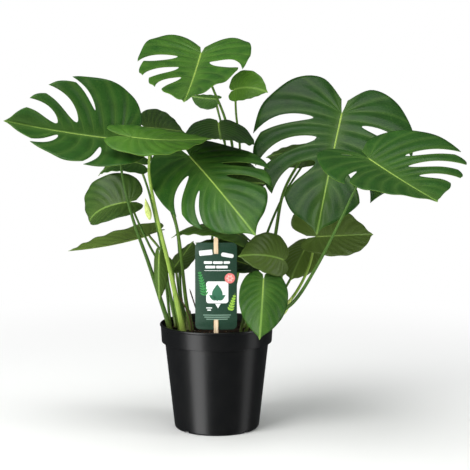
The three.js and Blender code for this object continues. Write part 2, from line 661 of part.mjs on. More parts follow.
function tagCard() {
  const slotW = STICK_W + 4 * GAP;
  const half = CARD_WEAVE / 2 - 1;
  const low = CARD_Z0 + SLOT_FROM_END;
  const high = CARD_Z1 - SLOT_FROM_END;
  const zs = [
    CARD_Z0, CARD_Z0 + 0.3 * CARD_CORNER, low - half, low, low + half,
    lerp(low, high, 0.3), lerp(low, high, 0.7), high - half, high, high + half,
    CARD_Z1 - 0.3 * CARD_CORNER, CARD_Z1,
  ];
  const xs = [-1, -0.55, 0, 0, 0.55, 1];
  const points = [];
  const triangles = [];
  zs.forEach((z) => {
    const fromEnd = Math.min(z - CARD_Z0, CARD_Z1 - z, CARD_CORNER);
    const pull = CARD_CORNER - Math.sqrt(CARD_CORNER ** 2 - (CARD_CORNER - fromEnd) ** 2);
    xs.forEach((u, i) => {
      const x = i === 2 ? -slotW / 2 : i === 3 ? slotW / 2 : u * (CARD_W / 2 - pull);
      const y = STICK_Y + cardOffset(z) + CARD_BOW * (2 * x / CARD_W) ** 2;
      points.push(new THREE.Vector3(x, y, z));
    });
  });
  const n = xs.length;
  for (let j = 0; j < zs.length - 1; j++) {
    const middle = (zs[j] + zs[j + 1]) / 2;
    const inSlot = Math.abs(middle - low) < half || Math.abs(middle - high) < half;
    for (let i = 0; i < n - 1; i++) {
      if (i === 2 && inSlot) continue;
      const a = j * n + i;
      triangles.push([a, a + 1, a + n + 1], [a, a + n + 1, a + n]);
    }
  }
  return thickened(points, triangles, CARD_T);
}

function tagStick() {
  const shape = new THREE.Shape();
  const w = STICK_W / 2;
  const top = CARD_Z1 + STICK_ABOVE;
  const bottom = SOIL_Z - STICK_DEPTH;
  shape.moveTo(-w * 0.3, bottom);
  shape.lineTo(w * 0.3, bottom);
  shape.lineTo(w, bottom + 3 * w);
  shape.lineTo(w, top - w);
  shape.absarc(0, top - w, w, 0, Math.PI, false);
  shape.lineTo(-w, bottom + 3 * w);
  shape.closePath();
  const g = new THREE.ExtrudeGeometry(shape, { depth: STICK_T, bevelEnabled: false, curveSegments: 8 });
  return g.rotateX(Math.PI / 2).translate(0, STICK_Y + STICK_T / 2, 0);
}

// ---------------------------------------------------------------- assembly
const group = new THREE.Group();

function add(name, geometry, color, roughness) {
  const material = new THREE.MeshStandardMaterial({ color, roughness, metalness: 0 });
  const mesh = new THREE.Mesh(geometry, material);
  mesh.name = name;
  group.add(mesh);
}

add('pot', pot(), 0x16171a, 0.35);
add('soil', soil(), 0x2a1d14, 0.95);
add('tag_card', tagCard(), 0x1f4a3a, 0.55);
add('tag_stick', tagStick(), 0xe2cfae, 0.7);
for (const [name, leaf] of Object.entries(LEAVES)) {
  const shade = new THREE.Color().setHSL(0.31 + 0.03 * hash(name), 0.6, 0.2 + 0.12 * hash(`${name}l`));
  add(`leaf_${name}`, blade(leaf), shade, 0.45);
}
for (const name of Object.keys(PETIOLES)) add(`petiole_${name}`, petiole(name), 0x5e8c35, 0.5);
for (const [name, s] of Object.entries(STEMS)) add(`stem_${name}`, stem(s), 0x6b7a3c, 0.7);
for (const [name, r] of Object.entries(AERIAL_ROOTS)) add(`aerial_root_${name}`, aerialRoot(r), 0x4a3a28, 0.8);
for (const [name, bud] of Object.entries(BUDS)) add(`sheath_${name}`, spindle(bud), 0xb9cf5a, 0.5);

export default group;
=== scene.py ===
# %% [markdown]
# # A potted monstera
# This lesson dresses a plain, functional model of a young split-leaf plant. The frame gives the
# place and size of every piece. Each cell remakes one of them with the curves, veins and
# surfaces that the real plant and its nursery pot have.

# %% Load the frame and keep its box
import json
from math import cos, pi, radians, sin, sqrt, tan

import bmesh
import bpy
import numpy as np
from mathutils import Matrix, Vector, noise


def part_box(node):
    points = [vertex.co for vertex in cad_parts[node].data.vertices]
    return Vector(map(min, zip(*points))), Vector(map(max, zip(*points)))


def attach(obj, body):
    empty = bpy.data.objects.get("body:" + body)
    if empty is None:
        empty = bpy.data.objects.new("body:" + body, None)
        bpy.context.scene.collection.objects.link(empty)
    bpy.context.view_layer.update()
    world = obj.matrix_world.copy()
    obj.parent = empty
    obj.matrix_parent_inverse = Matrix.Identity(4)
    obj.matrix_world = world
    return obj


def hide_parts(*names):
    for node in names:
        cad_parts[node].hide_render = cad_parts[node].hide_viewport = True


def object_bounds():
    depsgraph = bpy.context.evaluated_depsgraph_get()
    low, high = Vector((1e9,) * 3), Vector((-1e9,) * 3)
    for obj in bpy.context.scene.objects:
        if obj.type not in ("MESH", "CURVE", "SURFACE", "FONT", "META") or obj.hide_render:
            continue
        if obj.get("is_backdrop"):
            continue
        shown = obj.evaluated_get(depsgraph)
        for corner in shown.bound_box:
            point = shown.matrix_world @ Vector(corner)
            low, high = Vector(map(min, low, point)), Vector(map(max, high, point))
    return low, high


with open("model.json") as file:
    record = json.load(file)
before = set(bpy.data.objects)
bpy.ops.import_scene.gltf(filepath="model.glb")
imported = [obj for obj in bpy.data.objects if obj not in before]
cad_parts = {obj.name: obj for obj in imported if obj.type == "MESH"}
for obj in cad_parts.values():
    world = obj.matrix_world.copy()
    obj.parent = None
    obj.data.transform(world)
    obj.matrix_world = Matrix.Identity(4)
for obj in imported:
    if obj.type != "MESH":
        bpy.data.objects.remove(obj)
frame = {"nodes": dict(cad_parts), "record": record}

CAD_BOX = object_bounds()
MM = 0.001                       # every size below is in millimetres
print("nodes", len(frame["nodes"]), "box in m", [list(map(float, c)) for c in CAD_BOX])

# %% [markdown]
# ## Small helpers
# Blender's shaders work in linear light, while colours are usually picked in sRGB. One function
# turns a hex colour into the four numbers that a shader wants. A second one adds a shader node
# with its settings and links in one line, so a material reads as a list of its steps.

# %% Colours and shader nodes
def shade(hex_colour):
    """A linear RGBA colour from an sRGB hex one."""
    parts = [int(hex_colour[i:i + 2], 16) / 255 for i in (1, 3, 5)]
    linear = [c / 12.92 if c <= 0.04045 else ((c + 0.055) / 1.055) ** 2.4 for c in parts]
    return (*linear, 1.0)


def node(tree, kind, links=None, **settings):
    """Adds a shader node. Settings are its properties; links fill its inputs with a value, a socket
    or another node, whose first output is then used."""
    made = tree.nodes.new("ShaderNode" + kind)
    for name, value in settings.items():
        setattr(made, name, value)
    for key, value in (links or {}).items():
        if isinstance(value, bpy.types.Node):
            value = value.outputs[0]
        if isinstance(value, bpy.types.NodeSocket):
            tree.links.new(value, made.inputs[key])
        else:
            made.inputs[key].default_value = value
    return made


def new_material(name):
    """A node material, its emptied tree, and the object's own coordinates in it."""
    material = bpy.data.materials.new(name)
    material.use_nodes = True
    tree = material.node_tree
    tree.nodes.clear()
    return material, tree, node(tree, "TexCoord").outputs["Object"]


def colour_stops(ramp, stops):
    """Fills a colour ramp from (position, hex) stops."""
    first, last = ramp.elements
    first.position, first.color = stops[0][0], shade(stops[0][1])
    last.position, last.color = stops[-1][0], shade(stops[-1][1])
    for position, colour in stops[1:-1]:
        ramp.elements.new(position).color = shade(colour)


print("mid grey #808080 is", round(shade("#808080")[0], 3), "in linear light")

# %% [markdown]
# Pieces are made in millimetres. A flat sheet can be thickened, and a round solid is stacked up
# from rings of points. Each finished piece takes the place of the plain nodes of the frame that it
# stands for, which are hidden.

# %% Meshes
def new_object(name, points_mm, faces, materials, smooth=True):
    """A mesh object from points in millimetres."""
    mesh = bpy.data.meshes.new(name)
    mesh.from_pydata([tuple(float(c) * MM for c in p) for p in points_mm], [], faces)
    for material in materials:
        mesh.materials.append(material)
    mesh.polygons.foreach_set("use_smooth", [smooth] * len(mesh.polygons))
    made = bpy.data.objects.new(name, mesh)
    bpy.context.collection.objects.link(made)
    return made


def set_attribute(piece, name, values):
    """Stores one number for each vertex, for the shader to read."""
    piece.data.attributes.new(name, "FLOAT", "POINT").data.foreach_set("value", [float(v) for v in values])


def bake_modifiers(piece):
    """Turns the modifiers of a piece into its mesh."""
    evaluated = piece.evaluated_get(bpy.context.evaluated_depsgraph_get())
    piece.data = bpy.data.meshes.new_from_object(evaluated)
    piece.modifiers.clear()


def thicken(piece, thickness_mm, back=0):
    """Gives a flat sheet its thickness, half to each side. back is the place, in the piece's list of
    materials, of the one on its back and rim."""
    solid = piece.modifiers.new("thickness", "SOLIDIFY")
    solid.thickness = thickness_mm * MM
    solid.offset = 0
    solid.material_offset = solid.material_offset_rim = back
    bake_modifiers(piece)


def stacked(name, low_tip, rings, high_tip, materials):
    """A closed solid: a point, then rings of points that go up round it, then a last point."""
    points = [low_tip, *(p for ring in rings for p in ring), high_tip]
    count, faces = len(rings[0]), []
    last = 1 + (len(rings) - 1) * count
    for k in range(count):
        n = (k + 1) % count
        faces += [(0, 1 + n, 1 + k), (last + k, last + n, len(points) - 1)]
        for start in range(1, last, count):
            faces.append((start + k, start + n, start + n + count, start + k + count))
    return new_object(name, points, faces, materials)


def circle(r, z, count):
    """Points of a level circle about the pot's axis."""
    return [(*turned_by(r, 0, 2 * pi * k / count), z) for k in range(count)]


def turned_by(x, y, angle):
    """A point turned about the origin of its plane."""
    return x * cos(angle) - y * sin(angle), x * sin(angle) + y * cos(angle)


def span(node_name, axis):
    """Where a node of the frame starts and ends along an axis, in millimetres."""
    return [corner[axis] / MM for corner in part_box(node_name)]


def stands_for(piece, slot, *nodes):
    """Puts a finished piece in the frame in place of its plain nodes."""
    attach(piece, "root")
    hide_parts(*nodes)


print("helpers ready; the pot spans", [round(v) for v in span("pot", 0)], "mm in x")

# %% [markdown]
# ## The studio
# A long lens from two metres away keeps the plant's proportions natural. One broad softbox on
# the left draws the bright band down the black pot, a slim one on the right gives its second,
# fainter band, and a large one overhead lights the leaf blades from above. The pot's wall leans
# outwards, so it mirrors what lies below the horizon. Two low cards stand there, and the floor
# lets their light through. The floor fades into a white surround, and is hidden from glossy
# rays, so that the black pot stays black.

# %% Camera, floor and lights
CAMERA_AT = (0.030, -2.2, 0.588)
CAMERA_PITCH = radians(-7)
LENS_MM = 104

camera = bpy.data.objects.new("camera", bpy.data.cameras.new("camera"))
camera.data.lens = LENS_MM
camera.location = CAMERA_AT
camera.rotation_euler = (pi / 2 + CAMERA_PITCH, 0, 0)
bpy.context.collection.objects.link(camera)
bpy.context.scene.camera = camera
bpy.context.scene.view_settings.view_transform = "Standard"

PLANT_MIDDLE = Vector((0.02, 0, 0.32))


def softbox(name, direction_deg, height, distance, width, tall, watts):
    """An area light round the plant. Direction 0 is where the camera is, and positive is to its right."""
    light = bpy.data.lights.new(name, "AREA")
    light.shape = "RECTANGLE"
    light.size = width
    light.size_y = tall
    light.energy = watts
    made = bpy.data.objects.new(name, light)
    angle = radians(direction_deg)
    made.location = (distance * sin(angle), -distance * cos(angle), height)
    made.rotation_euler = (PLANT_MIDDLE - made.location).to_track_quat("-Z", "Y").to_euler()
    bpy.context.collection.objects.link(made)
    return made


# Each light: direction, height, distance, width and tallness in metres, and its power in watts.
softbox("softbox_left", -46, 1.15, 2.2, 1.5, 1.9, 56)
softbox("softbox_right", 74, 0.95, 2.2, 0.6, 1.7, 17)
softbox("softbox_above", -10, 2.5, 0.5, 1.9, 1.6, 34)
softbox("softbox_behind", 165, 1.9, 2.2, 1.6, 1.0, 6).visible_glossy = False
softbox("low_card_left", -46, -0.9, 2.2, 1.3, 2.4, 34)
softbox("low_card_right", 82, -0.9, 2.2, 0.9, 2.4, 6)

FLOOR_HALF_MM = 9e3
corners = [(x * FLOOR_HALF_MM, y * FLOOR_HALF_MM, 0) for x, y in ((-1, -1), (1, -1), (1, 1), (-1, 1))]
floor = new_object("floor", corners, [(0, 1, 2, 3)], [])
floor.location.z = -0.5 * MM     # just under the pot's foot
floor.visible_glossy = False
floor.visible_shadow = False
paper, tree, place = new_material("seamless_white_paper")
distance = node(tree, "VectorMath", {0: place}, operation="LENGTH").outputs["Value"]
far = node(tree, "MapRange", {"Value": distance, "From Min": 0.25, "From Max": 1.3},
           interpolation_type="SMOOTHSTEP")
matt = node(tree, "BsdfDiffuse", {"Color": shade("#F4F4F2")})
glow = node(tree, "Emission", {"Color": shade("#FFFFFF"), "Strength": 1.0})
blend = node(tree, "MixShader", {0: far, 1: matt, 2: glow})
node(tree, "OutputMaterial", {"Surface": blend})
floor.data.materials.append(paper)
floor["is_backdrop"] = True

world = bpy.data.worlds.new("studio")
bpy.context.scene.world = world
world.use_nodes = True
tree = world.node_tree
tree.nodes.clear()
ray = node(tree, "LightPath").outputs
seen, mirrored = ray["Is Camera Ray"], ray["Is Glossy Ray"]
dim, dimmer, bright = (node(tree, "Background", {"Color": shade(colour), "Strength": strength})
                       for colour, strength in (("#E8ECEF", 0.34), ("#E8ECEF", 0.07), ("#FFFFFF", 1.0)))
around = node(tree, "MixShader", {0: mirrored, 1: dim, 2: dimmer})
both = node(tree, "MixShader", {0: seen, 1: around, 2: bright})
node(tree, "OutputWorld", {"Surface": both})
print("camera", CAMERA_AT, "lens", LENS_MM, "mm")

# %% [markdown]
# ## The blade
# A monstera leaf starts as a heart. Its lobes curl round the petiole, its side veins sweep
# towards the margin, and splits open between the veins from the margin inwards. So the blade is
# laid out along its veins: s runs round the margin from the sinus to the tip, and r runs out
# along a vein from the midrib. The flat plan is then bent along the midrib, folded and curled
# on each side, and twisted. The frame's blades follow the same formulas with fewer points.

# %% The flat plan
MARGIN = np.array([
    (-0.12, 0.04), (-0.25, 0.32), (-0.18, 0.69), (0.01, 0.93), (0.21, 1.0), (0.41, 0.96),
    (0.58, 0.83), (0.73, 0.62), (0.85, 0.36), (0.94, 0.10), (1.0, 0.0),
])                               # a half blade of unit length and unit half width
ATTACHED = 0.25                  # up to this s, the veins start where the petiole meets the blade
VEIN_SWEEP = 0.06                # how far along the margin the veins sweep towards the tip


def margin_at(s):
    """A point of the margin, on a smooth curve through MARGIN."""
    last = len(MARGIN) - 1
    p = s * last
    i = np.minimum(np.floor(p).astype(int), last - 1)
    t = (p - i)[..., None]
    a, b, c, d = (MARGIN[np.clip(i + k, 0, last)] for k in (-1, 0, 1, 2))
    ease_in, ease_out = (c - a) / 2, (d - b) / 2
    cubic = (2 * b - 2 * c + ease_in + ease_out) * t ** 3
    return cubic + (3 * c - 3 * b - 2 * ease_in - ease_out) * t ** 2 + ease_in * t + b


def plan_point(s, r, lobe):
    """The flat blade: x along the midrib, y out to one side."""
    m = margin_at(s + VEIN_SWEEP * r * r * np.sin(pi * s))
    mx, my = m[..., 0] * np.where(m[..., 0] < 0, lobe, 1), m[..., 1]
    t = np.maximum(0, (s - ATTACHED) / (1 - ATTACHED))
    root = 0.92 * (0.55 * t + 0.45 * t * t)
    middle = root + 0.42 * (mx - root) - 0.03 * np.sin(pi * s)
    x = (1 - r) ** 2 * root + 2 * r * (1 - r) * middle + r * r * mx
    y = 2 * r * (1 - r) * 0.55 * my + r * r * my
    return x, y


print("the margin runs through", len(MARGIN), "points; veins fan out up to s =", ATTACHED)

# %% [markdown]
# The flat plan is bent by arcs. A steadily bending line keeps its length, so the blade doesn't
# stretch, however far it droops or curls.

# %% The bent blade
def along_arc(bend, start, distance):
    """How far a steadily bending line reaches and drops over a distance."""
    bend = np.where(np.abs(bend) < 1e-4, 1e-4, bend)
    end = start + bend * distance
    return (np.sin(end) - np.sin(start)) / bend, (np.cos(start) - np.cos(end)) / bend


def blade_axes(leaf):
    """The blade's base and its directions along, across and up, in the frame's millimetres."""
    turn, pitch, roll = (radians(leaf[k]) for k in ("heading", "pitch", "roll"))
    along = np.array((cos(turn) * cos(pitch), sin(turn) * cos(pitch), sin(pitch)))
    level_up = np.array((-cos(turn) * sin(pitch), -sin(turn) * sin(pitch), cos(pitch)))
    level_across = np.cross(level_up, along)
    across = cos(roll) * level_across + sin(roll) * level_up
    up = cos(roll) * level_up - sin(roll) * level_across
    x, y, z = leaf["at"]
    return np.array((x, y, SOIL_LEVEL + z)), along, across, up


def blade_points(leaf, side, s, r, lift=0.0):
    """Points of the bent blade, and its upward direction there. side is 1 on the left, -1 on the right."""
    base, along, across, up = blade_axes(leaf)
    x, y = plan_point(s, r, leaf["lobe"])
    y = y * (leaf["left"] if side > 0 else leaf["right"])
    bend = np.radians(np.where(x < 0, leaf["back"], leaf["bend"]))
    reach, fall = along_arc(bend, 0.0, x)
    fold = radians(leaf["foldL"] if side > 0 else leaf["foldR"])
    out, drop = along_arc(np.full_like(y, radians(leaf["curl"])), fold, y)
    angle, twist = (bend * x)[..., None], (radians(leaf["twist"]) * x)[..., None]
    local_up = up * np.cos(angle) + along * np.sin(angle)
    local_across = across * np.cos(twist) + local_up * np.sin(twist)
    local_up = local_up * np.cos(twist) - across * np.sin(twist)
    p = along * reach[..., None] - up * fall[..., None]
    p = p + side * local_across * out[..., None] - local_up * drop[..., None]
    return base + leaf["length"] * p + local_up * np.asarray(lift)[..., None], local_up


print("bent by 60 degrees, a line of 1 reaches", round(float(along_arc(radians(60), 0.0, 1.0)[0]), 3))

# %% [markdown]
# ## Splits, holes and puckers
# A split is narrow and round where it starts near the midrib, and opens towards the margin. A
# hole is a split that never reached the margin. Between two side veins the blade swells up a
# little, because the veins hold it back, and the margin ripples. These are real shapes, so they
# are moved points of the mesh and not bump alone.

# %% One half of a blade as strips between its cuts
ROW_STEPS = (0, 0.01, 0.04, 0.09, 0.16, 0.27, 0.42)   # extra rows at the round end of a cut
PUCKER_MM = 2.6                  # swelling between side veins, on a blade 200 mm long
RIPPLE_MM = 2.0                  # ripple of the margin, on the same blade
RIB_CHANNEL_MM = 0.7             # depth of the channel over the midrib
VEIN_STEP = 0.085                # about this much of s lies between two side veins
NEAR_S, WIDE_S = 0.002, 0.01     # steps of s that measure how far apart the veins are
FEWEST_VEINS = 4                 # for each unit of s, where there is no cut to count from
LEAST_ROW_STEP = 0.004           # rows of points are never nearer than this in r
MOUTH_LEAN = 0.012               # a split's mouth leans towards the tip, so each finger ends in a point
FINGER_ROUNDING = 0.10           # the corner of the finger beyond a split is rounded off by this much
FINGER_S = 0.1                   # over this length of margin


def cut_edge(cut, r, edge):
    """How far a cut's edge lies from its vein, in s, at each r. edge is 1 beyond the cut, -1 before it."""
    _, _, start, end, width, mouth = cut
    t = np.clip((r - start) / (end - start), 0, 1)
    lens = edge * width * np.sqrt(np.maximum(0, 1 - (2 * t - 1) ** 2))
    if end < 1:
        return lens
    wide = np.cos(pi * (t - 0.5))
    return np.where(t < 0.5, lens, edge * (mouth + (width - mouth) * wide) + MOUTH_LEAN * (1 - wide))


def finger_rounding(split, past, r):
    """How much shorter a finger's veins are, at a distance past the split before it."""
    near = np.maximum(0, 1 - past / FINGER_S)
    outward = np.maximum(0, (r - split[2]) / (1 - split[2]))
    return FINGER_ROUNDING * (near * outward) ** 2


def rows_for(cuts, count):
    """Values of r from the midrib to the margin, closer together where a cut begins or ends."""
    rows = set(np.round(np.linspace(0, 1, count), 4))
    for _, _, start, end, _, _ in cuts:
        rows |= {round(start + k * (end - start), 4) for k in ROW_STEPS}
        if end < 1:
            rows |= {round(end - k * (end - start), 4) for k in ROW_STEPS}
    rows = sorted(rows)
    kept = [rows[0]]
    for r in rows[1:]:
        if r - kept[-1] > LEAST_ROW_STEP:
            kept.append(r)
    kept[-1] = 1.0
    return np.array(kept)


def vein_knots(cuts):
    """Where each side vein runs: s at the cuts, and how many veins have passed by there."""
    places = sorted({0.0, 1.0, *(c[1] for c in cuts)})
    counts = [0.5]
    for a, b in zip(places, places[1:]):
        counts.append(counts[-1] + max(1, round((b - a) / VEIN_STEP)))
    return places, counts


def half_blade(leaf, side, places, columns, row_count):
    """Vertices, quads and shading values of one side of the blade."""
    cuts = [c for c in leaf["cuts"] if (c[0] == "L") == (side > 0)]
    rows = rows_for(cuts, row_count)
    knots, counts = vein_knots(cuts)
    at = {c[1]: c for c in cuts}
    scale = leaf["length"] / 200
    points, faces, values = [], [], {"vein_phase": [], "vein_gap": [], "from_rib": [], "edge": []}
    for (a, b), n in zip(zip(places, places[1:]), columns):
        low = a + (cut_edge(at[a], rows, 1) if a in at else 0 * rows)
        high = b + (cut_edge(at[b], rows, -1) if b in at else 0 * rows)
        u = np.linspace(0, 1, n + 1)[:, None]
        s = low + (high - low) * u
        r = np.broadcast_to(rows, s.shape)
        split = max((c for c in cuts if c[3] == 1 and c[1] <= a), key=lambda c: c[1], default=None)
        if split:
            r = r - finger_rounding(split, a + (b - a) * u - split[1], r)
        phase = np.interp(s, knots, counts)
        between = np.sin(pi * phase) ** 2
        calm = np.sin(pi * np.clip(s, 0, 1)) ** 0.8
        swell = PUCKER_MM * scale * calm * between * np.sin(pi * np.clip(r, 0, 1)) ** 0.8
        wave = RIPPLE_MM * scale * calm * r ** 4 * np.sin(pi * (phase + 1.7 * s) + leaf["length"])
        x, y = plan_point(s, r, leaf["lobe"])
        y_mm = y * (leaf["left"] if side > 0 else leaf["right"]) * leaf["length"]
        rib_width = 1.6 * scale + 0.9
        channel = -RIB_CHANNEL_MM * scale * np.exp(-(y_mm / rib_width) ** 2) * (s > 0.2)
        p, _ = blade_points(leaf, side, s, r, swell + wave + channel)
        later = np.minimum(s + NEAR_S, 1)
        ahead, here = (blade_points(leaf, side, at_s, r)[0] for at_s in (later, later - NEAR_S))
        veins = np.interp(s + WIDE_S, knots, counts) - np.interp(s - WIDE_S, knots, counts)
        per_s = np.maximum(veins / (2 * WIDE_S), FEWEST_VEINS)
        gap = np.linalg.norm(ahead - here, axis=-1) / NEAR_S / per_s
        start = len(points)
        points.extend(p.reshape(-1, 3))
        for key, value in (("vein_phase", phase), ("vein_gap", gap), ("from_rib", y_mm), ("edge", r)):
            values[key].extend(np.ravel(value))
        m = len(rows)
        for i in range(n):
            for j in range(m - 1):
                k = start + i * m + j
                quad = (k, k + m, k + m + 1, k + 1)
                faces.append(quad if side > 0 else quad[::-1])
    return points, faces, values


print("on a blade of 200 mm, swelling", PUCKER_MM, "mm, ripple", RIPPLE_MM, "mm")

# %% [markdown]
# ## Leaf tissue
# The upper face of a leaf is deep green with a soft waxy gloss. Light veins run through it, and
# the underside is paler and more matt. The mesh carries how far each point is from a vein, so
# the shader draws veins that keep their real width of about a millimetre and fade towards the
# margin. A fine net of cells lies between them. Young leaves are lime green, old ones nearly
# bottle green, and one number for each blade picks its place on the ramp. The ramp's darkest end,
# below bottle green, is painted shade, for blades that lie in the shade of others.

# %% Leaf materials
VEIN_MM = 1.7                    # a side vein with its light edges; 1 mm would be too fine to show
RIB_MM = 2.6                     # the midrib
CELL_MM = 3.2                    # mesh of the finest veins


def leaf_material(name, stops, vein_hex, vein_strength, halo, roughness, gloss, bump):
    """Living leaf tissue: a toned base, lighter veins, a net of cells and a waxy surface."""
    material, tree, place = new_material(name)
    tone, phase, gap, from_rib, edge = (node(tree, "Attribute", attribute_name=key).outputs["Fac"]
                                        for key in ("tone", "vein_phase", "vein_gap", "from_rib", "edge"))
    # The base: each blade's own tone, slightly uneven. Low tones are painted shade.
    patches = node(tree, "TexNoise", {"Vector": place, "Scale": 1 / (28 * MM), "Detail": 3.0})
    uneven = node(tree, "MapRange", {"Value": patches, "To Min": -0.16, "To Max": 0.16})
    toned = node(tree, "Math", {0: tone, 1: uneven}, operation="ADD", use_clamp=True)
    age_and_shade_colour = node(tree, "ValToRGB", {"Fac": toned})
    colour_stops(age_and_shade_colour.color_ramp, stops)
    olive = node(tree, "Attribute", attribute_name="olive").outputs["Fac"]
    base = node(tree, "Mix", {0: olive, 6: age_and_shade_colour, 7: shade("#566A2B")}, data_type="RGBA").outputs[2]
    # The side veins: the distance to the nearest one, in millimetres, fading towards the margin.
    to_vein = node(tree, "Math", {0: phase, 1: 0.5}, operation="PINGPONG")
    vein_mm = node(tree, "Math", {0: to_vein, 1: gap}, operation="MULTIPLY")
    on_vein = node(tree, "MapRange", {"Value": vein_mm, "From Min": 0.2 * VEIN_MM, "From Max": VEIN_MM,
                   "To Min": 0.17, "To Max": 0.0}, interpolation_type="SMOOTHSTEP")
    inner = node(tree, "MapRange", {"Value": edge, "From Min": 0.3, "From Max": 1.05,
                 "To Min": 1.0, "To Max": 0.0})
    side_veins = node(tree, "Math", {0: on_vein, 1: inner}, operation="MULTIPLY")
    rib = node(tree, "MapRange", {"Value": from_rib, "From Min": 0.3 * RIB_MM, "From Max": RIB_MM,
               "To Min": 0.66, "To Max": 0.0}, interpolation_type="SMOOTHSTEP")
    lines = node(tree, "Math", {0: side_veins, 1: rib}, operation="MAXIMUM")
    # The tissue is lighter beside the midrib and the side veins.
    beside_rib = node(tree, "MapRange", {"Value": from_rib, "From Min": 0.0, "From Max": 24.0,
                      "To Min": halo, "To Max": 0.0}, interpolation_type="SMOOTHSTEP")
    beside_vein = node(tree, "MapRange", {"Value": vein_mm, "From Min": 0.0, "From Max": 9.0,
                       "To Min": 0.6 * halo, "To Max": 0.0}, interpolation_type="SMOOTHSTEP")
    glow = node(tree, "Math", {0: beside_rib, 1: beside_vein}, operation="MAXIMUM")
    strong = node(tree, "Math", {0: lines, 1: vein_strength}, operation="MULTIPLY")
    light = node(tree, "Math", {0: strong, 1: glow}, operation="MAXIMUM")
    # The net of the finest veins.
    cells = node(tree, "TexVoronoi", {"Vector": place, "Scale": 1 / (CELL_MM * MM)},
                 feature="DISTANCE_TO_EDGE")
    net = node(tree, "MapRange", {"Value": cells, "From Max": 0.1, "To Min": 0.07, "To Max": 0.0})
    mask = node(tree, "Math", {0: light, 1: net}, operation="ADD", use_clamp=True)
    colour = node(tree, "Mix", {0: mask, 6: base, 7: shade(vein_hex)}, data_type="RGBA").outputs[2]
    # Veins lie in shallow grooves, and the wax is smoother in some places.
    quilt = node(tree, "MapRange", {"Value": cells, "From Max": 0.35, "To Min": 0.0, "To Max": 0.3})
    relief = node(tree, "Math", {0: quilt, 1: lines}, operation="SUBTRACT")
    bumped = node(tree, "Bump", {"Height": relief, "Strength": bump, "Distance": 0.3 * MM})
    wax = node(tree, "MapRange", {"Value": patches, "To Min": roughness - 0.06, "To Max": roughness + 0.08})
    surface = node(tree, "BsdfPrincipled", {"Base Color": colour, "Roughness": wax, "Normal": bumped,
                   "IOR": 1.42, "Specular IOR Level": gloss})
    node(tree, "OutputMaterial", {"Surface": surface})
    return material


# The darkest stops of both ramps are painted shade, for blades that lie in the shade of others.
UPPER = leaf_material("waxy_upper_leaf_tissue", [(0.0, "#0C1A10"), (0.35, "#173014"), (0.62, "#254D19"),
                      (1.0, "#5C8C28")], "#8FB356", 0.8, 0.11, 0.34, 0.22, 0.5)
LOWER = leaf_material("matt_lower_leaf_tissue", [(0.0, "#14240C"), (0.4, "#31501A"), (1.0, "#7D9C3A")],
                      "#94AD55", 0.6, 0.07, 0.55, 0.2, 0.35)
print("leaf materials", UPPER.name, LOWER.name)
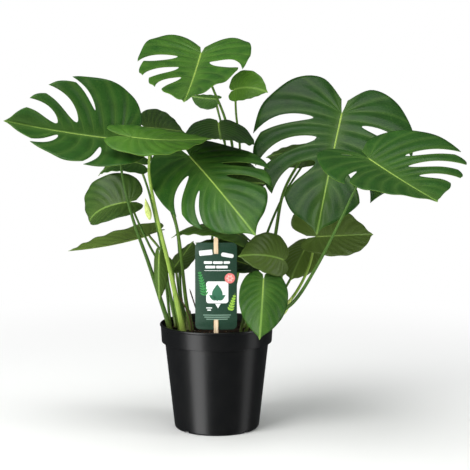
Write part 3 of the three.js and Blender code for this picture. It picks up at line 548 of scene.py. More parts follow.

# %% [markdown]
# ## Every blade of this plant
# Blades differ in age, size and how the light has turned them. Each one is a row of settings for
# the same formulas: where the petiole meets it, its length, its directions in degrees, the half
# widths over the length, how far its lobes reach back, and how it bends, folds, curls and twists.
# A cut is written as its side, its place on the margin, where it starts and ends along a vein, its
# half width and its mouth. Tone runs from bottle green to lime, and the lowest tones, darker than
# bottle green, are painted shade for blades that lie behind or under others. Olive is how much an
# old, shaded blade has yellowed.

# %% The blades
SOIL_DOME = 4                    # the soil's middle stands higher than its edge
SOIL_LEVEL = span("soil", 2)[1] - SOIL_DOME
LEAF_COLUMNS = ("at", "length", "heading", "pitch", "roll", "left", "right", "lobe", "bend", "back",
                "foldL", "foldR", "curl", "twist", "tone", "olive")
# Tones under 0.3 paint shade onto blades that lie behind or under others.
LEAF_ROWS = {
    "left_wide": ((-153, -50, 317), 189, 197, 7, -66, 0.63, 0.5, 0.75, -15, -10, -50, -9, 0, -13, 0.58, 0),
    "left_young": ((-130, -105, 324), 127, 2, -8, 22, 0.36, 0.44, 1.24, -15, -9, -3, 1, 15, -11, 0.72, 0),
    "back_dark": ((-114, 70, 330), 66, 22, -4, 45, 0.55, 0.41, 1, 10, 10, -19, -16, -3, -8, 0.22, 0),
    "top": ((-25, 20, 453), 252, -96, -24, -11, 0.35, 0.37, 0.78, -15, 32, -22, -4, -4, 6, 0.68, 0),
    "curled": ((28, 30, 394), 67, -49, 17, 44, 0.47, 0.32, 0.85, 55, 16, -22, 33, -5, 0, 0.8, 0),
    "under_top": ((-3, 85, 378), 45, 157, 2, -30, 0.47, 0.39, 0.76, -9, 9, 21, 8, 25, -2, 0.6, 0),
    "dome": ((3, 32, 340), 130, -88, -14, -3, 0.48, 0.43, 1.01, -10, 8, 5, 3, 59, -1, 0.42, 0),
    "centre": ((-42, -50, 291), 203, -64, -21, 38, 0.52, 0.4, 1.24, 34, 5, 33, 0, 6, 15, 0.62, 0),
    "right_wide": ((208, 72, 354), 259, -106, -42, -3, 0.49, 0.53, 1.02, 5, -5, 3, -22, 35, 13, 0.49, 0),
    "right_split": ((237, -105, 290), 182, -55, -21, 53, 0.68, 0.54, 1.16, -15, 45, 27, -50, 15, -4, 0.57, 0),
    "right_low": ((164, 10, 155), 123, 35, -2, 34, 0.51, 0.33, 1.29, 1, 25, -21, 14, 2, 0, 0.26, 0.65),
    "right_back": ((154, 83, 134), 95, -111, -20, -13, 0.37, 0.43, 0.98, 29, 11, 30, 22, 30, 7, 0.6, 0.85),
    "right_fold": ((106, -61, 127), 77, 217, 22, -58, 0.4, 0.62, 0.73, 56, 12, 14, -3, 17, 15, 0.18, 0.5),
    "front_heart": ((75, -88, 100), 105, -94, -41, -7, 0.41, 0.38, 0.8, 30, 16, 14, 20, 23, 2, 0.62, 0),
    "left_pleat": ((-141, 0, 213), 105, 177, -5, -56, 0.3, 0.48, 0.83, 75, 9, -16, -22, 0, -15, 0.42, 0.15),
    "left_low": ((-114, 60, 152), 138, 185, -18, -7, 0.35, 0.39, 0.8, -15, 9, -16, -10, -1, 1, 0.58, 0.75),
    "left_furled": ((-92, -39, 132), 76, -93, -62, 8, 0.23, 0.17, 0.7, 26, 15, 36, 38, 21, 3, 0.45, 0.3),
    "low_dark": ((-69, 10, 105), 61, 51, 38, -11, 0.42, 0.47, 0.88, -2, 8, 2, 8, 11, 1, 0.2, 0.2),
    "under_centre": ((38, -29, 162), 121, 170, 31, 0, 0.39, 0.3, 1, 69, 10, 6, 1, 26, -5, 0.6, 0.35),
    "under_left": ((-123, -10, 276), 76, 186, 18, -13, 0.43, 0.44, 0.8, 70, 14, 14, -11, 8, 15, 0.55, 0),
    "behind_tag": ((56, -33, 113), 98, 168, 15, -27, 0.49, 0.46, 0.7, -15, 9, -22, -1, 9, -15, 0.25, 0),
    "behind_centre": ((0, -5, 237), 88, -28, 15, 53, 0.54, 0.36, 0.78, 31, 18, -9, 15, 4, -1, 0.2, 0),
    "behind_right": ((161, 112, 291), 81, 176, -1, -28, 0.47, 0.44, 0.92, 20, 11, 15, 11, 12, -2, 0.4, 0.3),
}
CUTS = {
    "left_wide": [
        ("R", 0.74, 0.22, 1, 0.036, 0.03), ("R", 0.61, 0.22, 1, 0.036, 0.024),
        ("R", 0.46, 0.42, 1, 0.012, 0.004), ("L", 0.74, 0.22, 1, 0.02, 0.014),
        ("L", 0.46, 0.36, 1, 0.018, 0.012),
    ],
    "top": [
        ("R", 0.42, 0.34, 1, 0.03, 0.005), ("R", 0.56, 0.3, 1, 0.032, 0.016),
        ("R", 0.69, 0.28, 1, 0.03, 0.018), ("L", 0.48, 0.22, 1, 0.048, 0.006),
    ],
    "centre": [
        ("R", 0.46, 0.26, 1, 0.026, 0.018), ("R", 0.6, 0.34, 1, 0.014, 0.008),
        ("L", 0.46, 0.34, 1, 0.022, 0.008), ("L", 0.6, 0.3, 1, 0.026, 0.014),
    ],
    "right_wide": [
        ("R", 0.38, 0.3, 1, 0.026, 0.01), ("R", 0.52, 0.22, 1, 0.034, 0.02),
        ("R", 0.67, 0.24, 1, 0.036, 0.03), ("L", 0.38, 0.28, 1, 0.028, 0.008),
        ("L", 0.67, 0.3, 1, 0.03, 0.024),
    ],
    "right_split": [
        ("L", 0.44, 0.34, 1, 0.026, 0.018), ("L", 0.57, 0.26, 1, 0.032, 0.03),
        ("L", 0.7, 0.32, 1, 0.026, 0.03), ("R", 0.16, 0.34, 0.56, 0.018, 0),
        ("R", 0.44, 0.5, 1, 0.016, 0.012),
    ],
}
LEAVES = {name: dict(zip(LEAF_COLUMNS, row), cuts=CUTS.get(name, ())) for name, row in LEAF_ROWS.items()}
print(len(LEAVES), "blades,", len(CUTS), "of them split; the soil stands at", round(SOIL_LEVEL), "mm")

# %% [markdown]
# The two halves are welded along the midrib, and the sheet is given its thickness, with the upper
# tissue on one face and the lower on the other.

# %% Build the blades
BLADE_MM = 0.7                   # blade thickness; a living blade has about half of this
BIG_BLADE = 150                  # blades longer than this get a finer mesh
FINE, PLAIN = (0.0135, 18), (0.0216, 12)    # the step of s between columns, and the rows
WELD_MM = 0.02                   # points nearer than this become one


def build_blade(name, leaf):
    """One blade: both halves, welded along the midrib and thickened."""
    step, row_count = FINE if leaf["length"] > BIG_BLADE else PLAIN
    places = sorted({0.0, ATTACHED, 1.0, *(c[1] for c in leaf["cuts"])})
    columns = [max(2, round((b - a) / step)) for a, b in zip(places, places[1:])]
    points, faces, values = [], [], {}
    for side in (1, -1):
        p, f, v = half_blade(leaf, side, places, columns, row_count)
        faces.extend(tuple(i + len(points) for i in quad) for quad in f)
        points.extend(p)
        for key in v:
            values.setdefault(key, []).extend(v[key])
    blade = new_object("blade_" + name, points, faces, [UPPER, LOWER])
    for key in ("tone", "olive"):
        values[key] = [leaf[key]] * len(points)
    for key in values:
        set_attribute(blade, key, values[key])
    mesh = bmesh.new()
    mesh.from_mesh(blade.data)
    bmesh.ops.remove_doubles(mesh, verts=mesh.verts, dist=WELD_MM * MM)
    mesh.to_mesh(blade.data)
    mesh.free()
    thicken(blade, BLADE_MM, back=1)
    stands_for(blade, frame_slot("leaf_" + name), "leaf_" + name)
    return blade


def frame_slot(node_name):
    """The material slot that the record gives to a node."""
    return next(s["material_slot"] for s in frame["record"]["subparts"] if s["node"] == node_name)


for name, leaf in LEAVES.items():
    blade = build_blade(name, leaf)
    print(blade.name, len(blade.data.vertices), "points, tone", leaf["tone"])

# %% [markdown]
# ## Petioles
# Each leaf stands on its own stalk, the petiole. It is fullest where it clasps the stem, has a
# shallow channel on its upper side, and swells into a pale, wrinkled knee just under the blade,
# with which the leaf turns to the light. The stalk goes on as the midrib under the blade. A ring
# of points swept along a smooth path gives all of that. A plain curve with a round bevel
# couldn't make the channel.

# %% Paths and sweeps
def run_along(path):
    """How far each point of a path is along it."""
    return np.concatenate([[0], np.cumsum(np.linalg.norm(np.diff(path, axis=0), axis=1))])


def above_soil(points):
    """Points whose heights are given over the soil's level, in the frame's own."""
    return [(x, y, SOIL_LEVEL + z) for x, y, z in points]


def smooth_path(points, count):
    """count points, evenly spaced on a centripetal curve through the given ones."""
    points = [np.array(p, float) for p in points]
    ends = [2 * points[0] - points[1], *points, 2 * points[-1] - points[-2]]
    dense = []
    for a, b, c, d in zip(ends, ends[1:], ends[2:], ends[3:]):
        da, db, dc = (max(1e-4, np.linalg.norm(q - p)) ** 0.5 for p, q in ((a, b), (b, c), (c, d)))
        leave = ((b - a) / da - (c - a) / (da + db) + (c - b) / db) * db
        arrive = ((c - b) / db - (d - b) / (db + dc) + (d - c) / dc) * db
        for t in np.linspace(0, 1, 14, endpoint=False):
            cubic = (2 * b - 2 * c + leave + arrive) * t ** 3
            dense.append(cubic + (3 * c - 3 * b - 2 * leave - arrive) * t * t + leave * t + b)
    dense = np.array([*dense, points[-1]])
    run = run_along(dense)
    even = np.linspace(0, run[-1], count)
    return np.stack([np.interp(even, run, dense[:, k]) for k in range(3)], axis=1)


def sweep(path, radii, sides, channel=0.0, channel_side=(0, -1, 0)):
    """Points and faces of a closed tube. channel deepens the side of it that faces channel_side."""
    points, faces = [], []
    side = np.array((1.0, 0, 0))
    for i, p in enumerate(path):
        way = path[min(i + 1, len(path) - 1)] - path[max(i - 1, 0)]
        way = way / np.linalg.norm(way)
        side = side - way * side.dot(way)
        side = side / np.linalg.norm(side)
        other = np.cross(way, side)
        facing = np.array(channel_side, float) - way * way.dot(channel_side)
        middle = np.arctan2(facing.dot(other), facing.dot(side))
        for k in range(sides):
            w = 2 * pi * k / sides
            off = (w - middle + pi) % (2 * pi) - pi
            r = radii[i] * (1 - channel * (1 - i / len(path)) * np.exp(-(off / 0.42) ** 2))
            points.append(p + r * (cos(w) * side + sin(w) * other))
    for i in range(len(path) - 1):
        for k in range(sides):
            a, b = i * sides + k, i * sides + (k + 1) % sides
            faces.append((a, b, b + sides, a + sides))
    faces.append(tuple(range(sides))[::-1])
    faces.append(tuple(range((len(path) - 1) * sides, len(path) * sides)))
    return points, faces


straight = smooth_path([(0, 0, 0), (0, 0, 10)], 5)
print("a straight path of 10 mm measures", round(run_along(straight)[-1], 2), "mm")

# %% [markdown]
# Stalk skin is streaked along its length, like celery. It is paler and wrinkled at the knee, and
# browner at the foot, where it ages.

# %% Petiole tissue
def petiole_material():
    """Green stalk skin: streaks along the stalk, a pale knee, and faint wrinkles across it."""
    material, tree, place = new_material("ribbed_petiole_skin")
    tone, knee, foot = (node(tree, "Attribute", attribute_name=key).outputs["Fac"]
                        for key in ("tone", "knee", "foot"))
    along = node(tree, "Mapping", {"Vector": place, "Scale": (1 / (2 * MM), 1 / (2 * MM), 1 / (45 * MM))})
    streaks = node(tree, "TexNoise", {"Vector": along, "Scale": 1.0, "Detail": 4.0})
    uneven = node(tree, "MapRange", {"Value": streaks, "To Min": -0.12, "To Max": 0.12})
    toned = node(tree, "Math", {0: tone, 1: uneven}, operation="ADD", use_clamp=True)
    base = node(tree, "ValToRGB", {"Fac": toned})
    colour_stops(base.color_ramp, [(0.0, "#1E3216"), (0.45, "#476A26"), (0.8, "#7A9B3A"), (1.0, "#AEC562")])
    knee_part = node(tree, "Math", {0: knee, 1: 0.55}, operation="MULTIPLY")
    pale = node(tree, "Mix", {0: knee_part, 6: base, 7: shade("#9DBB5C")}, data_type="RGBA").outputs[2]
    foot_part = node(tree, "Math", {0: foot, 1: 0.6}, operation="MULTIPLY")
    colour = node(tree, "Mix", {0: foot_part, 6: pale, 7: shade("#6B6A3A")}, data_type="RGBA").outputs[2]
    rings = node(tree, "TexWave", {"Vector": place, "Scale": 1 / (9 * MM), "Distortion": 2.0},
                 bands_direction="Z")
    wrinkles = node(tree, "Math", {0: rings, 1: knee}, operation="MULTIPLY")
    height = node(tree, "Math", {0: streaks, 1: wrinkles}, operation="ADD")
    bumped = node(tree, "Bump", {"Height": height, "Strength": 0.4, "Distance": 0.35 * MM})
    surface = node(tree, "BsdfPrincipled", {"Base Color": colour, "Roughness": 0.42, "Normal": bumped,
                   "IOR": 1.42, "Specular IOR Level": 0.35})
    node(tree, "OutputMaterial", {"Surface": surface})
    return material


PETIOLE_SKIN = petiole_material()
print("petiole material", PETIOLE_SKIN.name)

# %% [markdown]
# Petioles fan out from the stems in the middle of the pot. Each passes through a few points on
# its way, so that it clears its neighbours.

# %% The petioles
PETIOLE_TIP_R = 1.7              # petiole radius where it meets the blade
FRAME_BLADE_MM = 1.0             # blade thickness in the frame
GAP = 0.35                       # clearance in the frame between pieces that touch
KNEE_MM = 11                     # half length of the swollen knee
RIB_R = 1.5                      # the midrib under a blade 200 mm long, where it leaves the knee
ROOTED_MM = 6                    # the finished stalks reach this far under the soil's level
STALK_POINTS, STALK_SIDES, RIB_POINTS, RIB_SIDES = 46, 14, 26, 8
FOOT_MM = 24                     # the thicker foot fades out over this length
CHANNEL_DEPTH = 0.24             # the channel's depth, as a share of the stalk's radius
PETIOLES = {                     # foot in the soil, its radius, tone, and points over the soil on the way up
    "left_wide": ((-76, -14), 4.4, 0.35,
        [(-88, -18, 45), (-110, -26, 117), (-134, -38, 191), (-150, -46, 265)]),
    "left_young": ((-54, -34), 5.2, 0.85,
        [(-72, -48, 99), (-94, -66, 199), (-104, -84, 263), (-106, -100, 308)]),
    "left_pleat": ((-76, 4), 2.6, 0.35, [(-88, 4, 97), (-110, 4, 141), (-130, 2, 185)]),
    "left_low": ((-68, 20), 3, 0.5, [(-78, 38, 47), (-92, 54, 121)]),
    "left_furled": ((-60, -18), 2.6, 0.5, [(-68, -32, 58), (-74, -28, 122)]),
    "low_dark": ((-50, 16), 3, 0.3, [(-60, 14, 47)]),
    "under_left": ((-62, 2), 3, 0.45, [(-74, -8, 53), (-92, -14, 153), (-110, -12, 233)]),
    "back_dark": ((-50, 38), 3, 0.3, [(-60, 42, 45), (-68, 54, 166), (-106, 62, 261)]),
    "centre": ((-42, -10), 3.8, 0.55, [(-50, -10, 51), (-60, -34, 157), (-72, -24, 221), (-66, -38, 260)]),
    "dome": ((2, 18), 3.6, 0.5, [(8, 34, 147), (16, 43, 290)]),
    "top": ((10, 34), 4.4, 0.5, [(20, 54, 145), (26, 74, 295), (12, 70, 350), (-8, 52, 400)]),
    "under_top": ((-6, 48), 3, 0.4, [(4, 70, 143), (14, 94, 293)]),
    "curled": ((24, 30), 3, 0.6, [(34, 54, 145), (38, 78, 300), (32, 60, 352)]),
    "behind_centre": ((-14, 26), 2.8, 0.4, [(-8, 23, 146)]),
    "under_centre": ((22, 4), 3, 0.6, [(30, 26, 67), (42, 32, 120), (46, 16, 146)]),
    "behind_tag": ((40, -22), 2.8, 0.4, [(50, -18, 54)]),
    "right_fold": ((58, -34), 3, 0.6, [(82, -31, 56), (104, -34, 90)]),
    "right_back": ((66, 14), 2.8, 0.55, [(98, 36, 40), (132, 64, 92)]),
    "right_low": ((70, -4), 3.8, 0.82, [(88, 0, 26), (120, 10, 48), (150, 16, 99)]),
    "right_split": ((76, -18), 3.8, 0.42,
        [(90, -22, 26), (124, -46, 56), (157, -74, 114), (190, -102, 186), (219, -112, 251)]),
    "right_wide": ((48, 24), 4.4, 0.5,
        [(84, 34, 63), (98, 42, 159), (112, 44, 229), (150, 50, 293), (188, 66, 336)]),
    "behind_right": ((50, 44), 3, 0.4, [(70, 80, 107), (110, 112, 207)]),
    "front_heart": ((46, -48), 2.8, 0.6, [(68, -58, 61), (78, -68, 84)]),
}


def stalk_path(leaf, x, y, via):
    """From inside the soil up to the underside of the blade."""
    base, _, _, up = blade_axes(leaf)
    droop = tan(radians(max(0, leaf["foldL"], leaf["foldR"])))
    under = FRAME_BLADE_MM / 2 + GAP + PETIOLE_TIP_R * (1 + droop)
    low, *passing = above_soil([(x, y, -ROOTED_MM), (x, y, SOIL_DOME + 2), *via])
    path = smooth_path([*passing, base - up * under], STALK_POINTS)
    return np.array([low, *path, base - up * (BLADE_MM / 2 + 0.2)])


def build_petiole(name, spot, stalk_r, tone, via):
    """The stalk of one leaf, and the midrib under its blade."""
    leaf = LEAVES[name]
    path = stalk_path(leaf, *spot, via)
    run = run_along(path)
    knee = np.exp(-((run[-1] - run - KNEE_MM) / KNEE_MM) ** 2)
    foot = np.exp(-(run / FOOT_MM) ** 2)
    radii = stalk_r + (PETIOLE_TIP_R - stalk_r) * (run / run[-1]) ** 0.7
    radii = radii * (1 + 0.20 * knee + 0.10 * foot)
    radii[-1] *= 0.8
    points, faces = sweep(path, radii, STALK_SIDES, CHANNEL_DEPTH)
    s = np.linspace(ATTACHED, 0.97, RIB_POINTS)
    rib, rib_up = blade_points(leaf, 1, s, np.zeros_like(s))
    rib_r = RIB_R * (leaf["length"] / 200) ** 0.5 * (1 - 0.8 * np.linspace(0, 1, RIB_POINTS))
    rib_points, rib_faces = sweep(rib - rib_up * (BLADE_MM / 2 + 0.35 * rib_r[:, None]), rib_r,
                                  RIB_SIDES)
    faces += [tuple(i + len(points) for i in f) for f in rib_faces]
    petiole = new_object("stalk_" + name, [*points, *rib_points], faces, [PETIOLE_SKIN])
    for key, value, on_rib in (("tone", np.full_like(run, tone), 0.9), ("knee", knee, 0), ("foot", foot, 0)):
        set_attribute(petiole, key, [*np.repeat(value, STALK_SIDES), *[on_rib] * len(rib_points)])
    stands_for(petiole, "petiole", "petiole_" + name)
    return run[-1]


for name, row in PETIOLES.items():
    print("petiole", name, round(build_petiole(name, *row)), "mm")

# %% [markdown]
# ## Stems, aerial roots and leaf sheaths
# The short stems hide between the petioles. They are thick, ringed by old leaf scars and partly
# corky. Thin brown aerial roots leave them, and a papery sheath stays where a young leaf has
# unrolled.

# %% Cork and root skin
def corky_material(name, stops, roughness, ring_mm):
    """A matt skin with rings across it, greener where it is young."""
    material, tree, place = new_material(name)
    grain = node(tree, "TexNoise", {"Vector": place, "Scale": 1 / (5 * MM), "Detail": 6.0, "Roughness": 0.65})
    base = node(tree, "ValToRGB", {"Fac": grain})
    colour_stops(base.color_ramp, stops)
    rings = node(tree, "TexWave", {"Vector": place, "Scale": 1 / (3.2 * ring_mm * MM), "Distortion": 4.0},
                 bands_direction="Z")
    height = node(tree, "Math", {0: grain, 1: rings}, operation="ADD")
    bumped = node(tree, "Bump", {"Height": height, "Strength": 0.7, "Distance": 0.6 * MM})
    surface = node(tree, "BsdfPrincipled", {"Base Color": base, "Roughness": roughness, "Normal": bumped})
    node(tree, "OutputMaterial", {"Surface": surface})
    return material


STEM_CORK = corky_material("green_corky_stem", [(0.3, "#3E3A22"), (0.55, "#66713A"), (0.8, "#8A9150")],
                           0.7, 5)
ROOT_SKIN = corky_material("dry_aerial_root", [(0.3, "#2A1C12"), (0.6, "#5A4028"), (0.8, "#7D6242")],
                           0.8, 3)
SHEATH_SKIN = corky_material("pale_leaf_sheath", [(0.25, "#93A845"), (0.5, "#C3D276"), (0.8, "#DDE3A0")],
                             0.5, 8)
print("skins", STEM_CORK.name, ROOT_SKIN.name, SHEATH_SKIN.name)

# %% Stems
STEM_R, STEM_TIP_R = 6.5, 3.5
LEAF_SCAR_STEP, SCAR_MM, SCAR_DEPTH = 11, 1.3, 0.10    # apart, half width, share of the radius
STEMS = {                        # foot, height, and how far the tip leans
    "left": (-44, 4, 34, -3, 1),
    "back": (8, 50, 40, 1, 2),
    "right": (60, -14, 22, 2, 0),
}
for name, (x, y, height, lean_x, lean_y) in STEMS.items():
    heights = np.linspace(-8, height, 26)
    share = np.clip(heights / height, 0, 1)
    path = np.stack([x + lean_x * share, y + lean_y * share, SOIL_LEVEL + heights], axis=1)
    from_scar = heights % LEAF_SCAR_STEP - LEAF_SCAR_STEP / 2
    radii = STEM_R + (STEM_TIP_R - STEM_R) * share ** 1.6
    radii = radii * (1 - SCAR_DEPTH * np.exp(-(from_scar / SCAR_MM) ** 2))
    radii[-1] *= 0.55            # a blunt tip
    piece = new_object("stem_skin_" + name, *sweep(path, radii, 20), [STEM_CORK])
    stands_for(piece, "stem", "stem_" + name)
print("stems", *STEMS)

# %% Aerial roots
ROOT_R = 1.1
AERIAL_ROOTS = {                 # foot, and points over the soil
    "left": (-40, -28, [(-44, -32, 30), (-60, -42, 66)]),
    "inner": (-28, -4, [(-32, -6, 30), (-44, -14, 72)]),
}
for name, (x, y, via) in AERIAL_ROOTS.items():
    low, *passing = above_soil([(x, y, -ROOTED_MM), (x, y, SOIL_DOME + 2), *via])
    path = np.array([low, *smooth_path(passing, 30)])
    radii = ROOT_R * (1 + 0.12 * np.sin(np.arange(len(path)) * 1.9))
    radii[-3:] *= (0.85, 0.6, 0.25)
    piece = new_object("root_skin_" + name, *sweep(path, radii, 10), [ROOT_SKIN])
    stands_for(piece, "stem", "aerial_root_" + name)
print("aerial roots", *AERIAL_ROOTS)

# %% Leaf sheaths
SHEATH_R, SHEATH_L = 5, 36
SHEATHS = {                      # lower end, and a point that it aims at
    "left": ((-104, -74, 192), (-113, -86, 240)),
    "right": ((106, -6, 26), (122, -6, 56)),
}
for name, (low, aim) in SHEATHS.items():
    way = np.array(aim, float) - low
    way = way / np.linalg.norm(way)
    share = np.linspace(0, 1, 22)
    path = np.array(above_soil([low])) + way * (SHEATH_L * share)[:, None]
    radii = 0.5 + (SHEATH_R - 0.5) * np.sin(pi * share ** 0.7)
    piece = new_object("sheath_skin_" + name, *sweep(path, radii, 16, 0.3), [SHEATH_SKIN])
    stands_for(piece, "petiole", "sheath_" + name)
print("sheaths", *SHEATHS)

# %% [markdown]
# ## The nursery pot
# The pot is one thin shell of black polypropylene. A rolled lip tops a tall skirt, a step leads
# down to the tapered body, and drain holes and notches in the foot ring let water out. A lathe
# section with rounded corners gives every edge the soft highlight of a moulding.

# %% The pot's section
POT_H, POT_R = span("pot", 2)[1], span("pot", 0)[1]
LIP_H, LIP_OUT = 4, 1.3          # the lip's height, and how far it stands out
SKIRT_H, SKIRT_DRAFT, SKIRT_STEP = 31, 1.6, 5.4    # height, narrowing downwards, step in to the body
BASE_R, FOOT_W, BOSS_R = 70, 4, 22                 # foot radius, foot ring's width, centre boss
WALL, FLOOR_Z = 1.8, 5                             # wall, and clear height under the floor
FOOT_NOTCHES, NOTCH_W, NOTCH_H = 4, 11, 3.5
DRAINS, DRAIN_R = 8, 4
POT_SEGMENTS, SHARP_DEG = 180, 38                  # edges sharper than this stay crisp
SKIRT_TOP_R = POT_R - LIP_OUT
SKIRT_BOTTOM_R = SKIRT_TOP_R - SKIRT_DRAFT
SKIRT_Z = POT_H - SKIRT_H
BODY_TOP_R = SKIRT_BOTTOM_R - SKIRT_STEP


def wall_inside(z):
    """Inner radius of the tapered body at a height."""
    return BASE_R + (BODY_TOP_R - BASE_R) * z / SKIRT_Z - WALL


def rounded(profile, steps=4):
    """A section of (radius, height, corner) with each corner turned into a small curve."""
    points = []
    for i, (r, z, corner) in enumerate(profile):
        here = np.array((r, z), float)
        if corner == 0 or i in (0, len(profile) - 1):
            points.append(here)
            continue
        before, after = (np.array(profile[j][:2], float) - here for j in (i - 1, i + 1))
        a = here + before / np.linalg.norm(before) * min(corner, np.linalg.norm(before) / 2)
        b = here + after / np.linalg.norm(after) * min(corner, np.linalg.norm(after) / 2)
        for t in np.linspace(0, 1, steps + 1):
            points.append((1 - t) ** 2 * a + 2 * t * (1 - t) * here + t * t * b)
    return points


print("pot wall leans out by", round(BODY_TOP_R - BASE_R, 1), "mm up to its skirt")

# %% [markdown]
# The plastic is satin, not mirror-like: its gloss varies a little, fine flow lines run down the
# wall, and a trace of dust keeps it from looking like wet paint.

# %% Black moulded polypropylene
def pot_material():
    """Satin black plastic: a smooth skin with faint flow lines down it and a trace of dust."""
    material, tree, place = new_material("black_moulded_polypropylene")
    drawn = node(tree, "Mapping", {"Vector": place, "Scale": (1 / (3 * MM), 1 / (3 * MM), 1 / (160 * MM))})
    flow = node(tree, "TexNoise", {"Vector": drawn, "Scale": 1.0, "Detail": 3.0})
    grit = node(tree, "TexNoise", {"Vector": place, "Scale": 1 / (0.9 * MM), "Detail": 2.0})
    dust = node(tree, "TexNoise", {"Vector": place, "Scale": 1 / (35 * MM), "Detail": 5.0, "Roughness": 0.7})
    dusty = node(tree, "MapRange", {"Value": dust, "From Min": 0.45, "From Max": 0.9, "To Max": 0.05})
    colour = node(tree, "Mix", {0: dusty, 6: shade("#0E0F10"), 7: shade("#4A4640")},
                  data_type="RGBA").outputs[2]
    gloss = node(tree, "MapRange", {"Value": dust, "To Min": 0.25, "To Max": 0.33})
    height = node(tree, "Math", {0: flow, 1: grit}, operation="ADD")
    bumped = node(tree, "Bump", {"Height": height, "Strength": 0.10, "Distance": 0.25 * MM})
    surface = node(tree, "BsdfPrincipled", {"Base Color": colour, "Roughness": gloss, "Normal": bumped,
                   "Specular IOR Level": 0.42})
    node(tree, "OutputMaterial", {"Surface": surface})
    return material


POT_PLASTIC = pot_material()
print("pot material", POT_PLASTIC.name)

# %% Turn the pot and cut its notches and drains
floor_top = FLOOR_Z + WALL
section = rounded([
    (0, 0, 0), (BOSS_R, 0, 0.6), (BOSS_R + 1, FLOOR_Z, 0.8), (BASE_R - FOOT_W, FLOOR_Z, 0.8),
    (BASE_R - FOOT_W, 0, 0.5), (BASE_R - 1.5, 0, 0.8), (BASE_R, 3, 2.0), (BODY_TOP_R, SKIRT_Z, 0.5),
    (SKIRT_BOTTOM_R, SKIRT_Z + 0.8, 0.9), (SKIRT_TOP_R, POT_H - LIP_H, 0.5),
    (POT_R, POT_H - LIP_H + 0.8, 0.9), (POT_R, POT_H - 1, 1.2), (POT_R - 1, POT_H, 0.8),
    (SKIRT_TOP_R - WALL, POT_H, 0.5),
    (SKIRT_BOTTOM_R - WALL, SKIRT_Z + 1 + WALL, 0.6), (wall_inside(SKIRT_Z), SKIRT_Z + WALL, 0.5),
    (wall_inside(floor_top), floor_top, 1.5), (0, floor_top, 0),
])
rings = [circle(r, z, POT_SEGMENTS) for r, z in section[1:-1]]
pot = stacked("moulded_pot", (0, 0, section[0][1]), rings, (0, 0, section[-1][1]), [POT_PLASTIC])


def cutter(shape, sizes, radius, height, angle):
    """A box or a cylinder that cuts through the pot at a place round its axis."""
    made = bmesh.new()
    if shape == "box":
        bmesh.ops.create_cube(made, size=1)
    else:
        bmesh.ops.create_cone(made, cap_ends=True, segments=28, radius1=0.5, radius2=0.5, depth=1)
    for v in made.verts:
        x, y, z = v.co.x * sizes[0] + radius, v.co.y * sizes[1], v.co.z * sizes[2] + height
        v.co = Vector((*turned_by(x, y, angle), z)) * MM
    return made


tools = bmesh.new()
scratch = bpy.data.meshes.new("tools")
notch = ("box", (FOOT_W * 3, NOTCH_W, NOTCH_H * 2), BASE_R - FOOT_W / 2, 0)
drain = ("drum", (2 * DRAIN_R, 2 * DRAIN_R, WALL * 4), BASE_R - FOOT_W - DRAIN_R - 4, FLOOR_Z + WALL / 2)
for count, cut in ((FOOT_NOTCHES, notch), (DRAINS, drain)):
    for k in range(count):
        cutter(*cut, 2 * pi * (k + 0.5) / count).to_mesh(scratch)
        tools.from_mesh(scratch)
tools.to_mesh(scratch)
tool_piece = bpy.data.objects.new("tools", scratch)
bpy.context.collection.objects.link(tool_piece)
cut = pot.modifiers.new("notches_and_drains", "BOOLEAN")
cut.object = tool_piece
cut.operation = "DIFFERENCE"
cut.solver = "EXACT"
bake_modifiers(pot)
bpy.data.objects.remove(tool_piece)
pot.data.set_sharp_from_angle(angle=radians(SHARP_DEG))
stands_for(pot, "pot_plastic", "pot")
print("pot", round(2 * POT_R), "mm wide,", round(POT_H), "mm tall,", len(pot.data.polygons), "faces")

# %% [markdown]
# ## Potting soil
# Houseplant soil is dark peat with bark chips, wood fibres and a few pale grains of perlite. The
# top is a disc of points pushed up and down by noise. Loose crumbs and chips are strewn on it,
# denser than the eye can count, each a small lumpy solid.

# %% Soil material
def soil_material():
    """Damp peat: almost black between the crumbs, brown on them, matt all over."""
    material, tree, place = new_material("damp_peat_and_bark")
    chip = node(tree, "Attribute", attribute_name="chip").outputs["Fac"]
    crumbs = node(tree, "TexNoise", {"Vector": place, "Scale": 1 / (4 * MM), "Detail": 8.0, "Roughness": 0.7})
    toned = node(tree, "Math", {0: crumbs, 1: chip}, operation="ADD")
    base = node(tree, "ValToRGB", {"Fac": toned})
    colour_stops(base.color_ramp, [(0.2, "#0E0A07"), (0.5, "#241810"), (0.75, "#3D2A1C"), (0.9, "#6A4E34"),
                 (1.0, "#B8AFA0")])
    bumped = node(tree, "Bump", {"Height": crumbs, "Strength": 0.9, "Distance": 1.2 * MM})
    surface = node(tree, "BsdfPrincipled", {"Base Color": base, "Roughness": 0.93, "Normal": bumped,
                   "Specular IOR Level": 0.25})
    node(tree, "OutputMaterial", {"Surface": surface})
    return material


PEAT = soil_material()
print("soil material", PEAT.name)

# %% The soil and its crumbs
SOIL_BELOW_RIM = POT_H - SOIL_LEVEL
SOIL_R = SKIRT_TOP_R - WALL - GAP - SKIRT_DRAFT * SOIL_BELOW_RIM / SKIRT_H
RINGS, SEGMENTS = 44, 144        # of the soil's surface
CRUMBS, PALE_SHARE = 900, 0.035  # crumbs, and how many of them are pale perlite
CRUMB_INSET = 4.5                # crumbs lie at least this far from the wall
LEAST_CRUMB, CRUMB_RANGE = 0.9, 2.6    # the smallest half length, and how much the largest adds
LUMP_MM, LUMP_HEIGHT = 14, 1.1   # width and height of the surface's lumps
PALE, DARKEST, LIGHTEST = 0.42, -0.05, 0.26    # how far crumbs move along the soil's colour ramp


def soil_height(x, y):
    """Height of the soil's surface: a low dome with lumps."""
    r = min(1.0, sqrt(x * x + y * y) / SOIL_R)
    lumps = noise.fractal(Vector((x / LUMP_MM, y / LUMP_MM, 3.1)), 0.9, 2.1, 5)
    return SOIL_LEVEL + (SOIL_DOME - 1.6) * (1 - r * r) + LUMP_HEIGHT * lumps * (1 - r ** 6)


